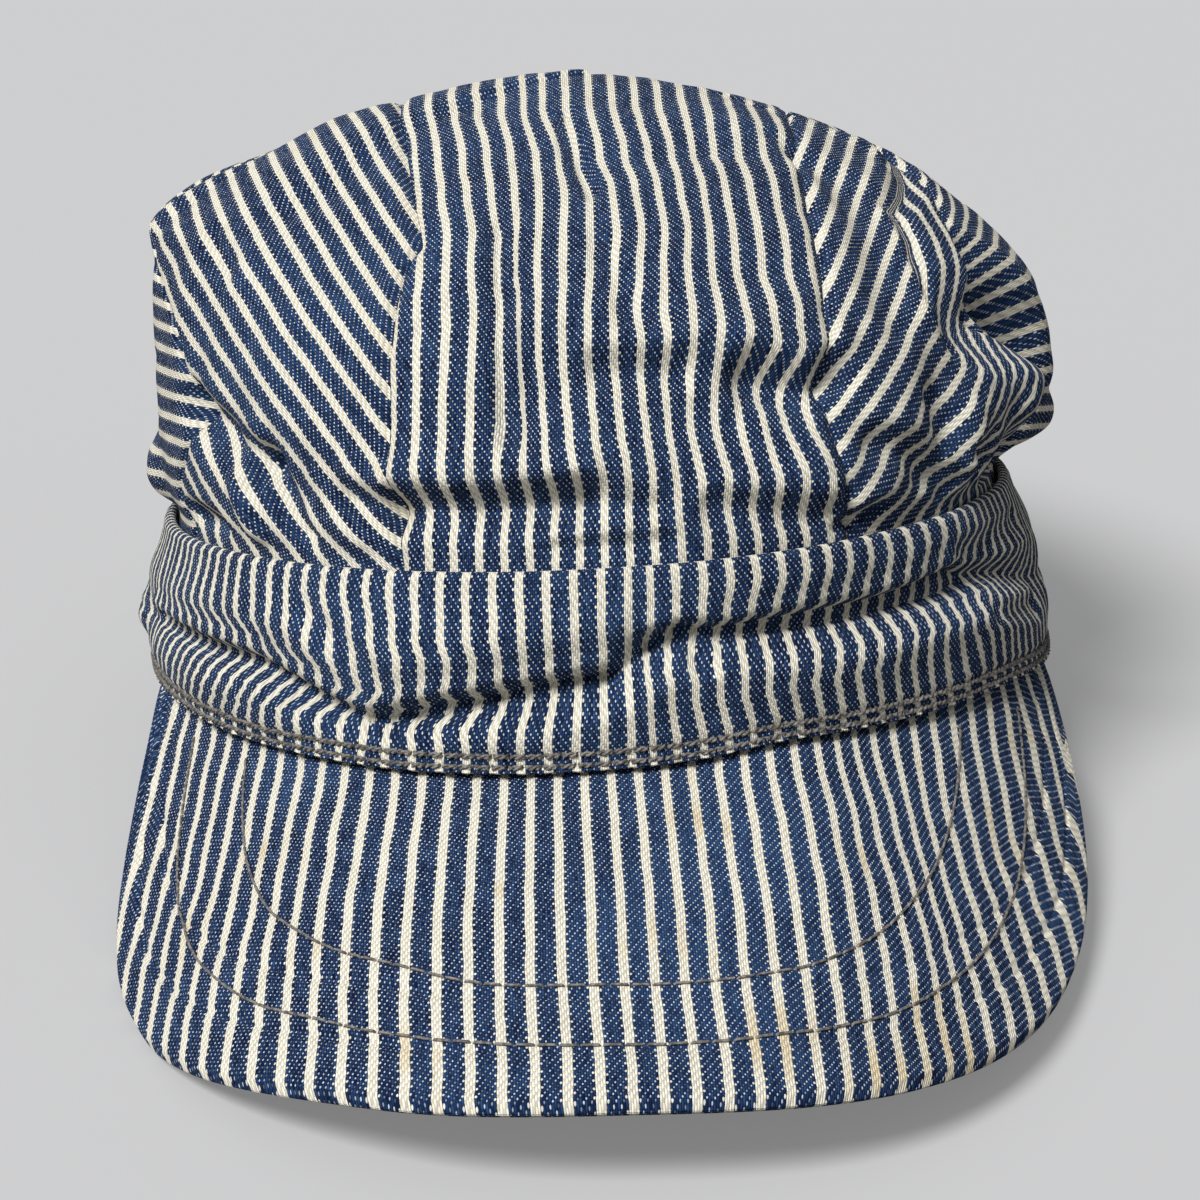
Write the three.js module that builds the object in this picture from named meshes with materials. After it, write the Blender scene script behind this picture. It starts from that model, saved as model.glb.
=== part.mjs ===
// Railroad engineer cap of striped cotton: a soft crown of five cloth panels, a deep band and a visor.
// Lengths are millimetres and angles degrees. The cap is drawn level first, in its own frame: x to its
// right, f forward and z up from the rim. It is then tipped until visor and back rim touch the ground.
import * as THREE from 'three';

// Rim: the lower edge of the band, measured outside from the middle of the head
const RIM_HALF_WIDTH = 80;
const RIM_FRONT = 100;
const RIM_BACK = 102;

// Band
const BAND_HEIGHT = 29;
const BAND_WALL = 2.4;
const BAND_TILT = 3;
const BAND_BULGE = 2.4;
const CREASE_DEPTH = 2.4;
const CREASE_WIDTH = 5.5;
const LEAN_LEFT = 3;
const LEAN_RIGHT = 7.5;
const LEAN_FRONT = 7;
const LEAN_BACK = 4;

// Crown
const CROWN_RISE = 71;
const CROWN_WALL = 1.8;
const CROWN_TUCK = 7;
const CROWN_HEART = 30;
const STRIP_WIDTH = 68;
const STRIP_OFFSET = 1;
const FOLD_DEPTH = 4;
const FOLD_WIDTH = 12;

// Visor: two layers of cloth, sewn under the band
const VISOR_LENGTH = 61;
const VISOR_SLOPE = 23;
const VISOR_CURVE = 2.3;
const VISOR_END_DROP = 1;
const VISOR_END = 73;
const VISOR_ROUNDNESS = 2.45;
const VISOR_CLOTH = 1.3;

// Fits
const GAP = 0.3;
const FLATTENED = 0.8;

// Numbers of faces along each piece
const STRIP_COLUMNS = 12;
const STRIP_ROWS = 44;
const PANEL_COLUMNS = 13;
const PANEL_ROWS = 14;
const BAND_COLUMNS = 80;
const BAND_ROWS = 7;
const VISOR_COLUMNS = 36;
const VISOR_ROWS = 8;

// Crown sections from the band up. rise is a share of the crown's rise. left, right, front and back are
// shares of the rim's reach that way. seamLeft and seamRight say how far round from the front the side
// seams stand there.
const CROWN_SECTIONS = [
  { rise: 0.09, left: 0.960, right: 0.955, front: 0.885, back: 0.970, seamLeft: 66, seamRight: 76 },
  { rise: 0.26, left: 0.970, right: 1.008, front: 0.825, back: 1.000, seamLeft: 60, seamRight: 70 },
  { rise: 0.45, left: 0.970, right: 0.975, front: 0.725, back: 0.990, seamLeft: 65, seamRight: 54 },
  { rise: 0.64, left: 0.960, right: 0.840, front: 0.550, back: 0.915, seamLeft: 82, seamRight: 62 },
  { rise: 0.81, left: 0.725, right: 0.600, front: 0.335, back: 0.750, seamLeft: 88, seamRight: 84 },
  { rise: 0.93, left: 0.415, right: 0.345, front: 0.165, back: 0.510, seamLeft: 90, seamRight: 90 },
  { rise: 1.00, left: 0, right: 0, front: 0, back: 0, seamLeft: 90, seamRight: 90 },
];

// Band round the head from back to back. turn is the angle from the front, positive to the right.
// hem is the lift of the lower edge and crease the height of the long crease, as shares of the band's
// height. sink is a share of the crease's depth, and swell of the band's bulge.
const BAND_SECTIONS = [
  { turn: -180, hem: 0.00, crease: 0.50, sink: 0.2, swell: 0.5 },
  { turn: -110, hem: 0.00, crease: 0.50, sink: 0.4, swell: 0.7 },
  { turn: -70, hem: 0.00, crease: 0.40, sink: 1.0, swell: 1.2 },
  { turn: -45, hem: -0.03, crease: 0.43, sink: 1.0, swell: 1.0 },
  { turn: -28, hem: -0.03, crease: 0.22, sink: 1.0, swell: 1.0 },
  { turn: -12, hem: -0.01, crease: 0.43, sink: 0.9, swell: 1.0 },
  { turn: 5, hem: 0.03, crease: 0.64, sink: 1.0, swell: 0.8 },
  { turn: 20, hem: 0.11, crease: 0.59, sink: 1.0, swell: 0.8 },
  { turn: 50, hem: 0.11, crease: 0.62, sink: 1.0, swell: 1.0 },
  { turn: 75, hem: 0.02, crease: 0.45, sink: 0.6, swell: 1.2 },
  { turn: 110, hem: 0.00, crease: 0.50, sink: 0.3, swell: 0.7 },
  { turn: 180, hem: 0.00, crease: 0.50, sink: 0.2, swell: 0.5 },
];

// Dents and folds of the crown, each from one place to another. depth and spread are shares of the
// fold depth and the fold width, and a negative depth goes inwards.
const FOLDS = [
  { turnA: -10, riseA: 0.36, turnB: 22, riseB: 0.30, spread: 0.9, depth: -0.7 },
  { turnA: -14, riseA: 0.13, turnB: 4, riseB: 0.08, spread: 0.6, depth: -0.6 },
  { turnA: -62, riseA: 0.72, turnB: -42, riseB: 0.61, spread: 0.7, depth: -0.4 },
  { turnA: -64, riseA: 0.30, turnB: -38, riseB: 0.10, spread: 0.7, depth: -0.6 },
  { turnA: 62, riseA: 0.78, turnB: 45, riseB: 0.48, spread: 0.6, depth: -0.5 },
  { turnA: 57, riseA: 0.44, turnB: 74, riseB: 0.40, spread: 0.8, depth: -1.3 },
  { turnA: 50, riseA: 0.33, turnB: 44, riseB: 0.10, spread: 0.8, depth: -0.6 },
  { turnA: 58, riseA: 0.13, turnB: 74, riseB: 0.09, spread: 0.7, depth: -0.8 },
  { turnA: 110, riseA: 0.35, turnB: 150, riseB: 0.22, spread: 1.2, depth: -0.6 },
  { turnA: -105, riseA: 0.25, turnB: -150, riseB: 0.38, spread: 1.2, depth: -0.6 },
  { turnA: 165, riseA: 0.50, turnB: 195, riseB: 0.55, spread: 1.3, depth: -0.5 },
];

const CLOTH_COLOURS = {
  strip: 0x6b7795,
  panel: 0x5f6c8e,
  band: 0x55638a,
  visor: 0x7380a0,
  under: 0x4c597c,
};

const radians = THREE.MathUtils.degToRad;
const degrees = THREE.MathUtils.radToDeg;

// A smooth curve through the given heights, which never overshoots between two of them
function curveThrough(places, heights, level = false) {
  const last = places.length - 1;
  const steps = heights.slice(1).map((height, i) => (height - heights[i]) / (places[i + 1] - places[i]));
  const slopes = heights.map((_, i) => {
    if (i === 0) return steps[0];
    if (i === last) return level ? 0 : steps[last - 1];
    const before = steps[i - 1];
    const after = steps[i];
    return before * after <= 0 ? 0 : (2 * before * after) / (before + after);
  });
  return (place) => {
    const at = THREE.MathUtils.clamp(place, places[0], places[last]);
    let i = 0;
    while (i < last - 1 && at > places[i + 1]) i += 1;
    const width = places[i + 1] - places[i];
    const t = (at - places[i]) / width;
    const rest = 1 - t;
    return heights[i] * (1 + 2 * t) * rest * rest
      + slopes[i] * width * t * rest * rest
      + heights[i + 1] * (3 - 2 * t) * t * t
      - slopes[i + 1] * width * t * t * rest;
  };
}

// The band's outer half widths at a share of its height
function bandReach(share) {
  return {
    left: RIM_HALF_WIDTH - LEAN_LEFT * share,
    right: RIM_HALF_WIDTH - LEAN_RIGHT * share,
    front: RIM_FRONT - LEAN_FRONT * share,
    back: RIM_BACK - LEAN_BACK * share,
  };
}

// A crown section inside the band, clear of its wall
function tuckedSection(z) {
  const reach = bandReach(Math.min(z / BAND_HEIGHT, 1));
  const inset = BAND_WALL + GAP;
  return {
    z,
    left: reach.left - inset,
    right: reach.right - inset,
    front: reach.front - inset,
    back: reach.back - inset,
    seamLeft: CROWN_SECTIONS[0].seamLeft,
    seamRight: CROWN_SECTIONS[0].seamRight,
  };
}

function risenSection(row) {
  return {
    z: BAND_HEIGHT + row.rise * CROWN_RISE,
    left: row.left * RIM_HALF_WIDTH,
    right: row.right * RIM_HALF_WIDTH,
    front: row.front * RIM_FRONT,
    back: row.back * RIM_BACK,
    seamLeft: row.seamLeft,
    seamRight: row.seamRight,
  };
}

const sections = [
  tuckedSection(BAND_HEIGHT - CROWN_TUCK),
  tuckedSection(BAND_HEIGHT + GAP),
  ...CROWN_SECTIONS.map(risenSection),
];
const MOUTH = 1;
const TOP = sections.length - 1;
const crown = {};
for (const key of Object.keys(sections[0])) {
  crown[key] = curveThrough(sections.map((_, i) => i), sections.map((row) => row[key]), key === 'z');
}

const band = {};
for (const key of ['hem', 'crease', 'sink', 'swell']) {
  band[key] = curveThrough(BAND_SECTIONS.map((row) => row.turn), BAND_SECTIONS.map((row) => row[key]));
}

// The right side of the band stands higher, and the tilt fades out towards the crown's top
function tiltAt(x, z) {
  const share = z < BAND_HEIGHT ? z / BAND_HEIGHT : 1 - (z - BAND_HEIGHT) / CROWN_RISE;
  return ((BAND_TILT * x) / RIM_HALF_WIDTH) * share;
}

// A point of the smooth crown, turn degrees round from the front at a level of the section table
function crownPoint(turn, level) {
  const side = Math.sin(radians(turn));
  const ahead = Math.cos(radians(turn));
  const x = side * (side > 0 ? crown.right(level) : crown.left(level));
  const f = ahead * (ahead > 0 ? crown.front(level) : crown.back(level));
  const z = crown.z(level);
  return new THREE.Vector3(x, f, z + tiltAt(x, z));
}

// The fall of a fold from its middle line, 1 there and 0 from its spread outwards
function bump(share) {
  return share >= 1 ? 0 : (1 - share * share) ** 2;
}

// Where a point of the crown lies on the cloth rolled out round the head
function rolledOut(turn, z) {
  return new THREE.Vector2(radians(turn) * RIM_HALF_WIDTH, z);
}

function distanceToPath(place, from, to) {
  const run = to.clone().sub(from);
  const share = THREE.MathUtils.clamp(place.clone().sub(from).dot(run) / run.lengthSq(), 0, 1);
  return place.distanceTo(from.clone().addScaledVector(run, share));
}

// How far the folds move a point of the crown outwards
function foldAt(point) {
  const turn = degrees(Math.atan2(point.x / RIM_HALF_WIDTH, point.y / RIM_FRONT));
  let moved = 0;
  for (const fold of FOLDS) {
    const near = fold.turnB > 180 && turn < 0 ? turn + 360 : turn;
    const from = rolledOut(fold.turnA, BAND_HEIGHT + fold.riseA * CROWN_RISE);
    const to = rolledOut(fold.turnB, BAND_HEIGHT + fold.riseB * CROWN_RISE);
    const away = distanceToPath(rolledOut(near, point.z), from, to);
    moved += fold.depth * FOLD_DEPTH * bump(away / (fold.spread * FOLD_WIDTH));
  }
  const clearOfBand = THREE.MathUtils.smoothstep(point.z, BAND_HEIGHT + BAND_TILT, BAND_HEIGHT + 3 * BAND_TILT);
  return moved * clearOfBand;
}

// The outer and inner face of the crown's wall at a point, both measured from the heart of the crown,
// so that neighbouring panels never cross
function crownWall(point) {
  const heart = new THREE.Vector3(0, 0, CROWN_HEART);
  const away = point.clone().sub(heart).normalize();
  const outer = point.clone().addScaledVector(away, foldAt(point));
  const inner = outer.clone().addScaledVector(away, -CROWN_WALL);
  return [outer, inner];
}

// The highest level at which the crown is still as wide as x
function topLevel(x) {
  const reach = x > 0 ? crown.right : crown.left;
  let low = 0;
  let high = TOP;
  for (let i = 0; i < 40; i += 1) {
    const middle = (low + high) / 2;
    if (reach(middle) > Math.abs(x)) low = middle;
    else high = middle;
  }
  return low;
}

// How far round from the front the crown reaches x at a level, or 90 where it is narrower
function turnToReach(x, level) {
  const reach = x > 0 ? crown.right(level) : crown.left(level);
  return degrees(Math.asin(THREE.MathUtils.clamp(x / Math.max(reach, GAP), -1, 1)));
}

// Points at equal steps along a path
function evenly(path, count) {
  const curve = new THREE.CurvePath();
  for (let i = 1; i < path.length; i += 1) {
    curve.add(new THREE.LineCurve3(path[i - 1], path[i]));
  }
  return Array.from({ length: count + 1 }, (_, i) => curve.getPointAt(i / count));
}

// The line over the crown at one x, from the front mouth over the top to the back mouth. The first and
// the last step lie inside the band, up to the level where the crown comes out of it.
function lineOverTop(x, count) {
  const top = topLevel(x);
  const samples = 60;
  const front = [];
  const back = [];
  for (let i = 0; i <= samples; i += 1) {
    const left = 1 - i / samples;
    const level = top - (top - MOUTH) * left * left;
    const turn = turnToReach(x, level);
    front.push(crownPoint(i === samples ? 90 * Math.sign(turn || 1) : turn, level));
    back.push(crownPoint(180 - turn, level));
  }
  back.pop();
  const turn = turnToReach(x, 0);
  const above = evenly([...front, ...back.reverse()], count - 2);
  return [crownPoint(turn, 0), ...above, crownPoint(180 - turn, 0)];
}

const stripLeft = STRIP_OFFSET - STRIP_WIDTH / 2;
const stripRight = STRIP_OFFSET + STRIP_WIDTH / 2;

function centerStripGrid() {
  const from = stripLeft + GAP / 2;
  const to = stripRight - GAP / 2;
  const lines = [];
  for (let column = 0; column <= STRIP_COLUMNS; column += 1) {
    lines.push(lineOverTop(from + ((to - from) * column) / STRIP_COLUMNS, STRIP_ROWS));
  }
  return lines;
}

// A side panel between the strip's edge and the side seam. It narrows to a point at the top.
function sidePanelGrid(side, atFront) {
  const x = side > 0 ? stripRight + GAP / 2 : stripLeft - GAP / 2;
  const seam = side > 0 ? crown.seamRight : crown.seamLeft;
  const seamTurn = (level) => {
    const point = crownPoint(side * seam(level), level);
    const half = degrees(GAP / 2 / Math.hypot(point.x, point.y));
    return side * (atFront ? seam(level) - half : seam(level) + half);
  };
  const edgeTurn = (level) => {
    const turn = turnToReach(x, level);
    return atFront ? turn : side * 180 - turn;
  };
  let low = MOUTH;
  let high = topLevel(x);
  const open = (level) => side * (seamTurn(level) - edgeTurn(level)) * (atFront ? 1 : -1) > 0;
  for (let i = 0; i < 40; i += 1) {
    const middle = (low + high) / 2;
    if (open(middle)) low = middle;
    else high = middle;
  }
  const rows = [];
  for (let row = 0; row <= PANEL_ROWS; row += 1) {
    const level = row === 0 ? 0 : MOUTH + ((low - MOUTH) * (row - 1)) / (PANEL_ROWS - 1);
    const from = edgeTurn(level);
    const to = row === PANEL_ROWS ? from : seamTurn(level);
    const line = [];
    for (let column = 0; column <= PANEL_COLUMNS; column += 1) {
      line.push(crownPoint(from + ((to - from) * column) / PANEL_COLUMNS, level));
    }
    rows.push(line);
  }
  return rows;
}

// The outer face of the band at a turn and a share of its height
function bandPoint(turn, share, inset) {
  const reach = bandReach(share);
  const away = Math.abs(share - band.crease(turn)) * BAND_HEIGHT;
  const out = band.swell(turn) * BAND_BULGE * Math.sin(Math.PI * share) ** 2
    - band.sink(turn) * CREASE_DEPTH * bump(away / CREASE_WIDTH) * Math.sin(Math.PI * share);
  const side = Math.sin(radians(turn));
  const ahead = Math.cos(radians(turn));
  const x = side * ((side > 0 ? reach.right : reach.left) + out - inset);
  const f = ahead * ((ahead > 0 ? reach.front : reach.back) + out - inset);
  const hem = band.hem(turn) * BAND_HEIGHT * (1 - share);
  return new THREE.Vector3(x, f, BAND_HEIGHT * share + hem + tiltAt(x, BAND_HEIGHT * share));
}

function bandGrid(inset) {
  const rows = [];
  for (let row = 0; row <= BAND_ROWS; row += 1) {
    const line = [];
    for (let column = 0; column <= BAND_COLUMNS; column += 1) {
      const turn = -180 + (360 * (column % BAND_COLUMNS)) / BAND_COLUMNS;
      line.push(bandPoint(turn, row / BAND_ROWS, inset));
    }
    rows.push(line);
  }
  return rows;
}

const visorHalfWidth = RIM_HALF_WIDTH * Math.sin(radians(VISOR_END));
const visorStart = RIM_FRONT * Math.cos(radians(VISOR_END));
const visorSlope = Math.tan(radians(VISOR_SLOPE));
const visorArch = visorSlope * (RIM_FRONT - visorStart) + VISOR_END_DROP;

// Height of the bent sheet that the visor is cut from. It slopes down forwards, and arches down sideways
// until its ends lie just below the rim.
function visorSheet(x, f) {
  return visorSlope * (RIM_FRONT - f) - visorArch * Math.abs(x / visorHalfWidth) ** VISOR_CURVE;
}

// A point of the visor's upper face. across runs from -1 at the left end to 1, out from the rim to the edge.
function visorPoint(across, out) {
  const root = bandPoint(across * VISOR_END, 0, BAND_WALL);
  const angle = radians(90 * across);
  const power = 2 / VISOR_ROUNDNESS;
  const edgeX = visorHalfWidth * Math.sign(across) * Math.abs(Math.sin(angle)) ** power;
  const edgeF = visorStart + (RIM_FRONT + VISOR_LENGTH - visorStart) * Math.cos(angle) ** power;
  const x = root.x + (edgeX - root.x) * out;
  const f = root.y + (edgeF - root.y) * out;
  const raise = root.z - GAP - visorSheet(root.x, root.y);
  return new THREE.Vector3(x, f, visorSheet(x, f) + raise * (1 - out) ** 2);
}

// The same point a depth below the upper face, square to the sheet
function belowVisor(point, depth) {
  const share = Math.abs(point.x) / visorHalfWidth;
  const steepness = (VISOR_CURVE * visorArch * share ** (VISOR_CURVE - 1)) / visorHalfWidth;
  const normal = new THREE.Vector3(Math.sign(point.x) * steepness, visorSlope, 1);
  return point.clone().addScaledVector(normal.normalize(), -depth);
}

const visorThickness = 2 * VISOR_CLOTH + GAP;

// The tip that sets the visor's lowest place and the back rim on one level
function restingTip() {
  let tip = 0;
  for (let column = 0; column <= VISOR_COLUMNS; column += 1) {
    const low = belowVisor(visorPoint((2 * column) / VISOR_COLUMNS - 1, 1), visorThickness);
    tip = Math.max(tip, Math.atan2(-low.z, low.y + RIM_BACK));
  }
  return tip;
}
const tip = restingTip();

// Height above the ground of a point given in the cap's own frame
function heightAboveGround(point) {
  return (point.y + RIM_BACK) * Math.sin(tip) + point.z * Math.cos(tip) - FLATTENED;
}

// A point of the resting cap: x to the right, the front towards -y, z up from the ground
function settled(point, lift = 0) {
  const along = (point.y + RIM_BACK) * Math.cos(tip) - point.z * Math.sin(tip);
  return new THREE.Vector3(point.x, RIM_BACK - along, Math.max(heightAboveGround(point) + lift, 0));
}

// A cloth wall from the points of its outer and its inner face, closed along its edges
function clothWall(outer, inner, isRing = false) {
  const positions = [];
  const faces = [];
  const known = new Map();
  const indexOf = (point) => {
    const key = point.toArray().map((value) => Math.round(value * 1e4)).join(' ');
    if (!known.has(key)) {
      known.set(key, known.size);
      positions.push(...point.toArray());
    }
    return known.get(key);
  };
  const triangle = (a, b, c) => {
    if (a !== b && b !== c && c !== a) faces.push([a, b, c]);
  };
  const quad = (...corners) => {
    const [a, b, c, d] = corners.map(indexOf);
    triangle(a, b, c);
    triangle(a, c, d);
  };
  const lastRow = outer.length - 1;
  const lastColumn = outer[0].length - 1;
  for (let r = 0; r < lastRow; r += 1) {
    for (let c = 0; c < lastColumn; c += 1) {
      quad(outer[r][c], outer[r][c + 1], outer[r + 1][c + 1], outer[r + 1][c]);
      quad(inner[r][c], inner[r + 1][c], inner[r + 1][c + 1], inner[r][c + 1]);
    }
    if (!isRing) {
      quad(outer[r][0], outer[r + 1][0], inner[r + 1][0], inner[r][0]);
      quad(outer[r][lastColumn], inner[r][lastColumn], inner[r + 1][lastColumn], outer[r + 1][lastColumn]);
    }
  }
  for (let c = 0; c < lastColumn; c += 1) {
    quad(outer[0][c], inner[0][c], inner[0][c + 1], outer[0][c + 1]);
    quad(outer[lastRow][c], outer[lastRow][c + 1], inner[lastRow][c + 1], inner[lastRow][c]);
  }
  const geometry = new THREE.BufferGeometry();
  geometry.setAttribute('position', new THREE.Float32BufferAttribute(positions, 3));
  geometry.setIndex(facingOut(positions, faces).flat());
  geometry.computeVertexNormals();
  return geometry;
}

// The same faces, all turned over if they point inwards
function facingOut(positions, faces) {
  const corner = (i) => new THREE.Vector3().fromArray(positions, 3 * i);
  let volume = 0;
  for (const [a, b, c] of faces) {
    volume += corner(a).dot(corner(b).cross(corner(c)));
  }
  return volume > 0 ? faces : faces.map(([a, b, c]) => [a, c, b]);
}

function piece(name, geometry, colour) {
  const material = new THREE.MeshStandardMaterial({ color: colour, roughness: 0.95, metalness: 0 });
  const mesh = new THREE.Mesh(geometry, material);
  mesh.name = name;
  return mesh;
}

function crownPiece(name, grid, colour) {
  const walls = grid.map((line) => line.map(crownWall));
  const outer = walls.map((line) => line.map(([point]) => settled(point)));
  const inner = walls.map((line) => line.map(([, point]) => settled(point)));
  return piece(name, clothWall(outer, inner), colour);
}

function bandPiece() {
  const outer = bandGrid(0).map((line) => line.map((point) => settled(point)));
  const inner = bandGrid(BAND_WALL).map((line) => line.map((point) => settled(point)));
  return piece('band', clothWall(outer, inner, true), CLOTH_COLOURS.band);
}

// One layer of the visor, from a depth below its upper face to a cloth's thickness deeper
function visorPiece(name, depth, colour) {
  const outer = [];
  const inner = [];
  for (let row = 0; row <= VISOR_ROWS; row += 1) {
    const upper = [];
    const lower = [];
    for (let column = 0; column <= VISOR_COLUMNS; column += 1) {
      const point = visorPoint((2 * column) / VISOR_COLUMNS - 1, row / VISOR_ROWS);
      const lift = Math.max(-heightAboveGround(belowVisor(point, visorThickness)), 0);
      upper.push(settled(belowVisor(point, depth), lift));
      lower.push(settled(belowVisor(point, depth + VISOR_CLOTH), lift));
    }
    outer.push(upper);
    inner.push(lower);
  }
  return piece(name, clothWall(outer, inner), colour);
}

const cap = new THREE.Group();
cap.add(
  crownPiece('crown_center_strip', centerStripGrid(), CLOTH_COLOURS.strip),
  crownPiece('crown_left_front_panel', sidePanelGrid(-1, true), CLOTH_COLOURS.panel),
  crownPiece('crown_left_back_panel', sidePanelGrid(-1, false), CLOTH_COLOURS.panel),
  crownPiece('crown_right_front_panel', sidePanelGrid(1, true), CLOTH_COLOURS.panel),
  crownPiece('crown_right_back_panel', sidePanelGrid(1, false), CLOTH_COLOURS.panel),
  bandPiece(),
  visorPiece('visor_top', 0, CLOTH_COLOURS.visor),
  visorPiece('visor_under', VISOR_CLOTH + GAP, CLOTH_COLOURS.under),
);

// The origin is the middle of the cap's box, on the ground
const middle = new THREE.Box3().setFromObject(cap).getCenter(new THREE.Vector3());
cap.position.set(-middle.x, -middle.y, 0);

export default cap;
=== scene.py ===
"""Looks of the striped railroad engineer cap: its cloth panels, band, visor, seams and stitches.

Lengths are millimetres in the cap's own frame, x to the viewer's right, f forward and z up from the
rim, until place() sets them down in the scene. A rise is a share of the crown's height above the band.
"""
import math
import random

import bpy
import numpy as np
from mathutils import Matrix, Vector


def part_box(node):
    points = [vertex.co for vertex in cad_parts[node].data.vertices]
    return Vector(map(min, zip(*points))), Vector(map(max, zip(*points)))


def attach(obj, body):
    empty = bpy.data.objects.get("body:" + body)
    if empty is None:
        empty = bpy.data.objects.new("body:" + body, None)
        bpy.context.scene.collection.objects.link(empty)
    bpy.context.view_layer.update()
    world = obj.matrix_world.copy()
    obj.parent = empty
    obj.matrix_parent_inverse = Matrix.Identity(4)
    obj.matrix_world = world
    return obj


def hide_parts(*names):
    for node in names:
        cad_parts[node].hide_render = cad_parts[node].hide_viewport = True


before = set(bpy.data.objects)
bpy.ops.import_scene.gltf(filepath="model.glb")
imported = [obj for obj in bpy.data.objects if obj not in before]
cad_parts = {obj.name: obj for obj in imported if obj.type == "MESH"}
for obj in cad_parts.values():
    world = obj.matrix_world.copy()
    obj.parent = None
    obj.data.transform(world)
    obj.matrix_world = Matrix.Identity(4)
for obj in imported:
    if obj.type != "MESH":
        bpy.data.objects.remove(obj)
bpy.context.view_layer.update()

MM = 0.001

# Sizes of the solids
RIM_HALF_WIDTH = 80.0
RIM_FRONT = 100.0
RIM_BACK = 102.0
BAND_HEIGHT = 29.0
BAND_WALL = 2.4
BAND_TILT = 3.0
BAND_BULGE = 2.4
CREASE_DEPTH = 5.4
CREASE_ABOVE = 10.0
CREASE_BELOW = 6.0
LEAN_LEFT = 3.0
LEAN_RIGHT = 7.5
LEAN_FRONT = 7.0
LEAN_BACK = 4.0
CROWN_RISE = 71.0
CROWN_TUCK = 7.0
CROWN_HEART = 30.0
STRIP_WIDTH = 68.0
STRIP_OFFSET = 1.0
VISOR_LENGTH = 61.0
VISOR_SLOPE = 23.0
VISOR_CURVE = 2.3
VISOR_END_DROP = 1.0
VISOR_END = 73.0
VISOR_ROUNDNESS = 2.45
VISOR_THICKNESS = 2.9
VISOR_BULGE = 5.0
VISOR_BULGE_TURN = -55
GAP = 0.3
FLATTENED = 0.8

# The cloth: eight blue warps and four white ones make a stripe
STRIPE_PITCH = 3.83
WARPS_IN_STRIPE = 12
WARP_PITCH = STRIPE_PITCH / WARPS_IN_STRIPE
WEFT_PITCH = 0.48
VISOR_STRETCH = 1.04
WALL = 1.2
BAND_CLOTH = 2.1
VISOR_WALL = 1.0
VISOR_ROLL = 1.35
VISOR_ROLL_WIDTH = 1.7

# Unevenness of the cloth: rows of height, length and seed
CROWN_UNEVEN = [(0.40, 17.0, 3), (0.17, 6.5, 4)]
BAND_UNEVEN = [(0.30, 16.0, 11), (0.14, 6.0, 12)]
VISOR_UNEVEN = [(0.22, 20.0, 21), (0.08, 7.0, 22)]

# Seams and threads
SEAM_GAP = 0.06
SEAM_DEPTH = 1.2
SEAM_WIDTH = 1.7
STITCH = 2.8
HEM_ROWS = (1.1, 2.7)
HEM_THREAD = 0.24
VISOR_ROWS = (10.0, 20.0)
VISOR_THREAD = 0.20
THREAD_SIDES = 6
THREAD_STEPS = 7
HEM_REACH = 8.0
VISOR_REACH = 30.0
BAND_MERGE = 0.005
THREAD_MERGE = 0.002

# Crown sections from the band up, as shares of the rim's half widths, with the turns of the side seams
CROWN_SECTIONS = [
    dict(rise=0.09, left=0.960, right=0.955, front=0.885, back=0.970, seam_left=66, seam_right=76),
    dict(rise=0.26, left=0.970, right=1.008, front=0.825, back=1.000, seam_left=60, seam_right=70),
    dict(rise=0.45, left=0.970, right=0.975, front=0.725, back=0.990, seam_left=65, seam_right=54),
    dict(rise=0.64, left=0.960, right=0.840, front=0.550, back=0.915, seam_left=82, seam_right=62),
    dict(rise=0.81, left=0.725, right=0.600, front=0.335, back=0.750, seam_left=88, seam_right=84),
    dict(rise=0.93, left=0.415, right=0.345, front=0.165, back=0.510, seam_left=90, seam_right=90),
    dict(rise=1.00, left=0.0, right=0.0, front=0.0, back=0.0, seam_left=90, seam_right=90),
]

# The strip's seams at the front, which the slumped cloth pulls out of line
STRIP_EDGES = [
    dict(rise=0.00, left=-31.0, right=37.0),
    dict(rise=0.12, left=-32.2, right=36.0),
    dict(rise=0.24, left=-33.0, right=34.6),
    dict(rise=0.31, left=-33.0, right=33.8),
    dict(rise=0.38, left=-33.0, right=34.4),
    dict(rise=0.47, left=-32.5, right=34.9),
    dict(rise=0.56, left=-31.4, right=35.2),
    dict(rise=0.61, left=-30.2, right=34.8),
    dict(rise=0.645, left=-28.4, right=34.6),
    dict(rise=0.72, left=-29.7, right=34.5),
    dict(rise=0.80, left=-31.2, right=34.5),
    dict(rise=0.93, left=-33.0, right=35.0),
]

# The band round the head, with its hem, the height of its crease and how far it sinks and swells
BAND_SECTIONS = [
    dict(turn=-180, hem=0.00, crease=0.50, sink=0.1, swell=0.5),
    dict(turn=-110, hem=0.00, crease=0.50, sink=0.2, swell=0.7),
    dict(turn=-70, hem=0.00, crease=0.40, sink=0.5, swell=1.2),
    dict(turn=-45, hem=-0.03, crease=0.43, sink=0.8, swell=1.0),
    dict(turn=-28, hem=-0.03, crease=0.22, sink=0.9, swell=1.0),
    dict(turn=-12, hem=-0.01, crease=0.36, sink=1.1, swell=1.0),
    dict(turn=-1, hem=0.02, crease=0.44, sink=1.2, swell=0.9),
    dict(turn=8, hem=0.05, crease=0.62, sink=1.0, swell=0.9),
    dict(turn=20, hem=0.11, crease=0.59, sink=1.4, swell=1.2),
    dict(turn=50, hem=0.11, crease=0.62, sink=1.4, swell=1.3),
    dict(turn=75, hem=0.02, crease=0.45, sink=0.4, swell=1.2),
    dict(turn=110, hem=0.00, crease=0.50, sink=0.2, swell=0.7),
    dict(turn=180, hem=0.00, crease=0.50, sink=0.1, swell=0.5),
]

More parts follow.
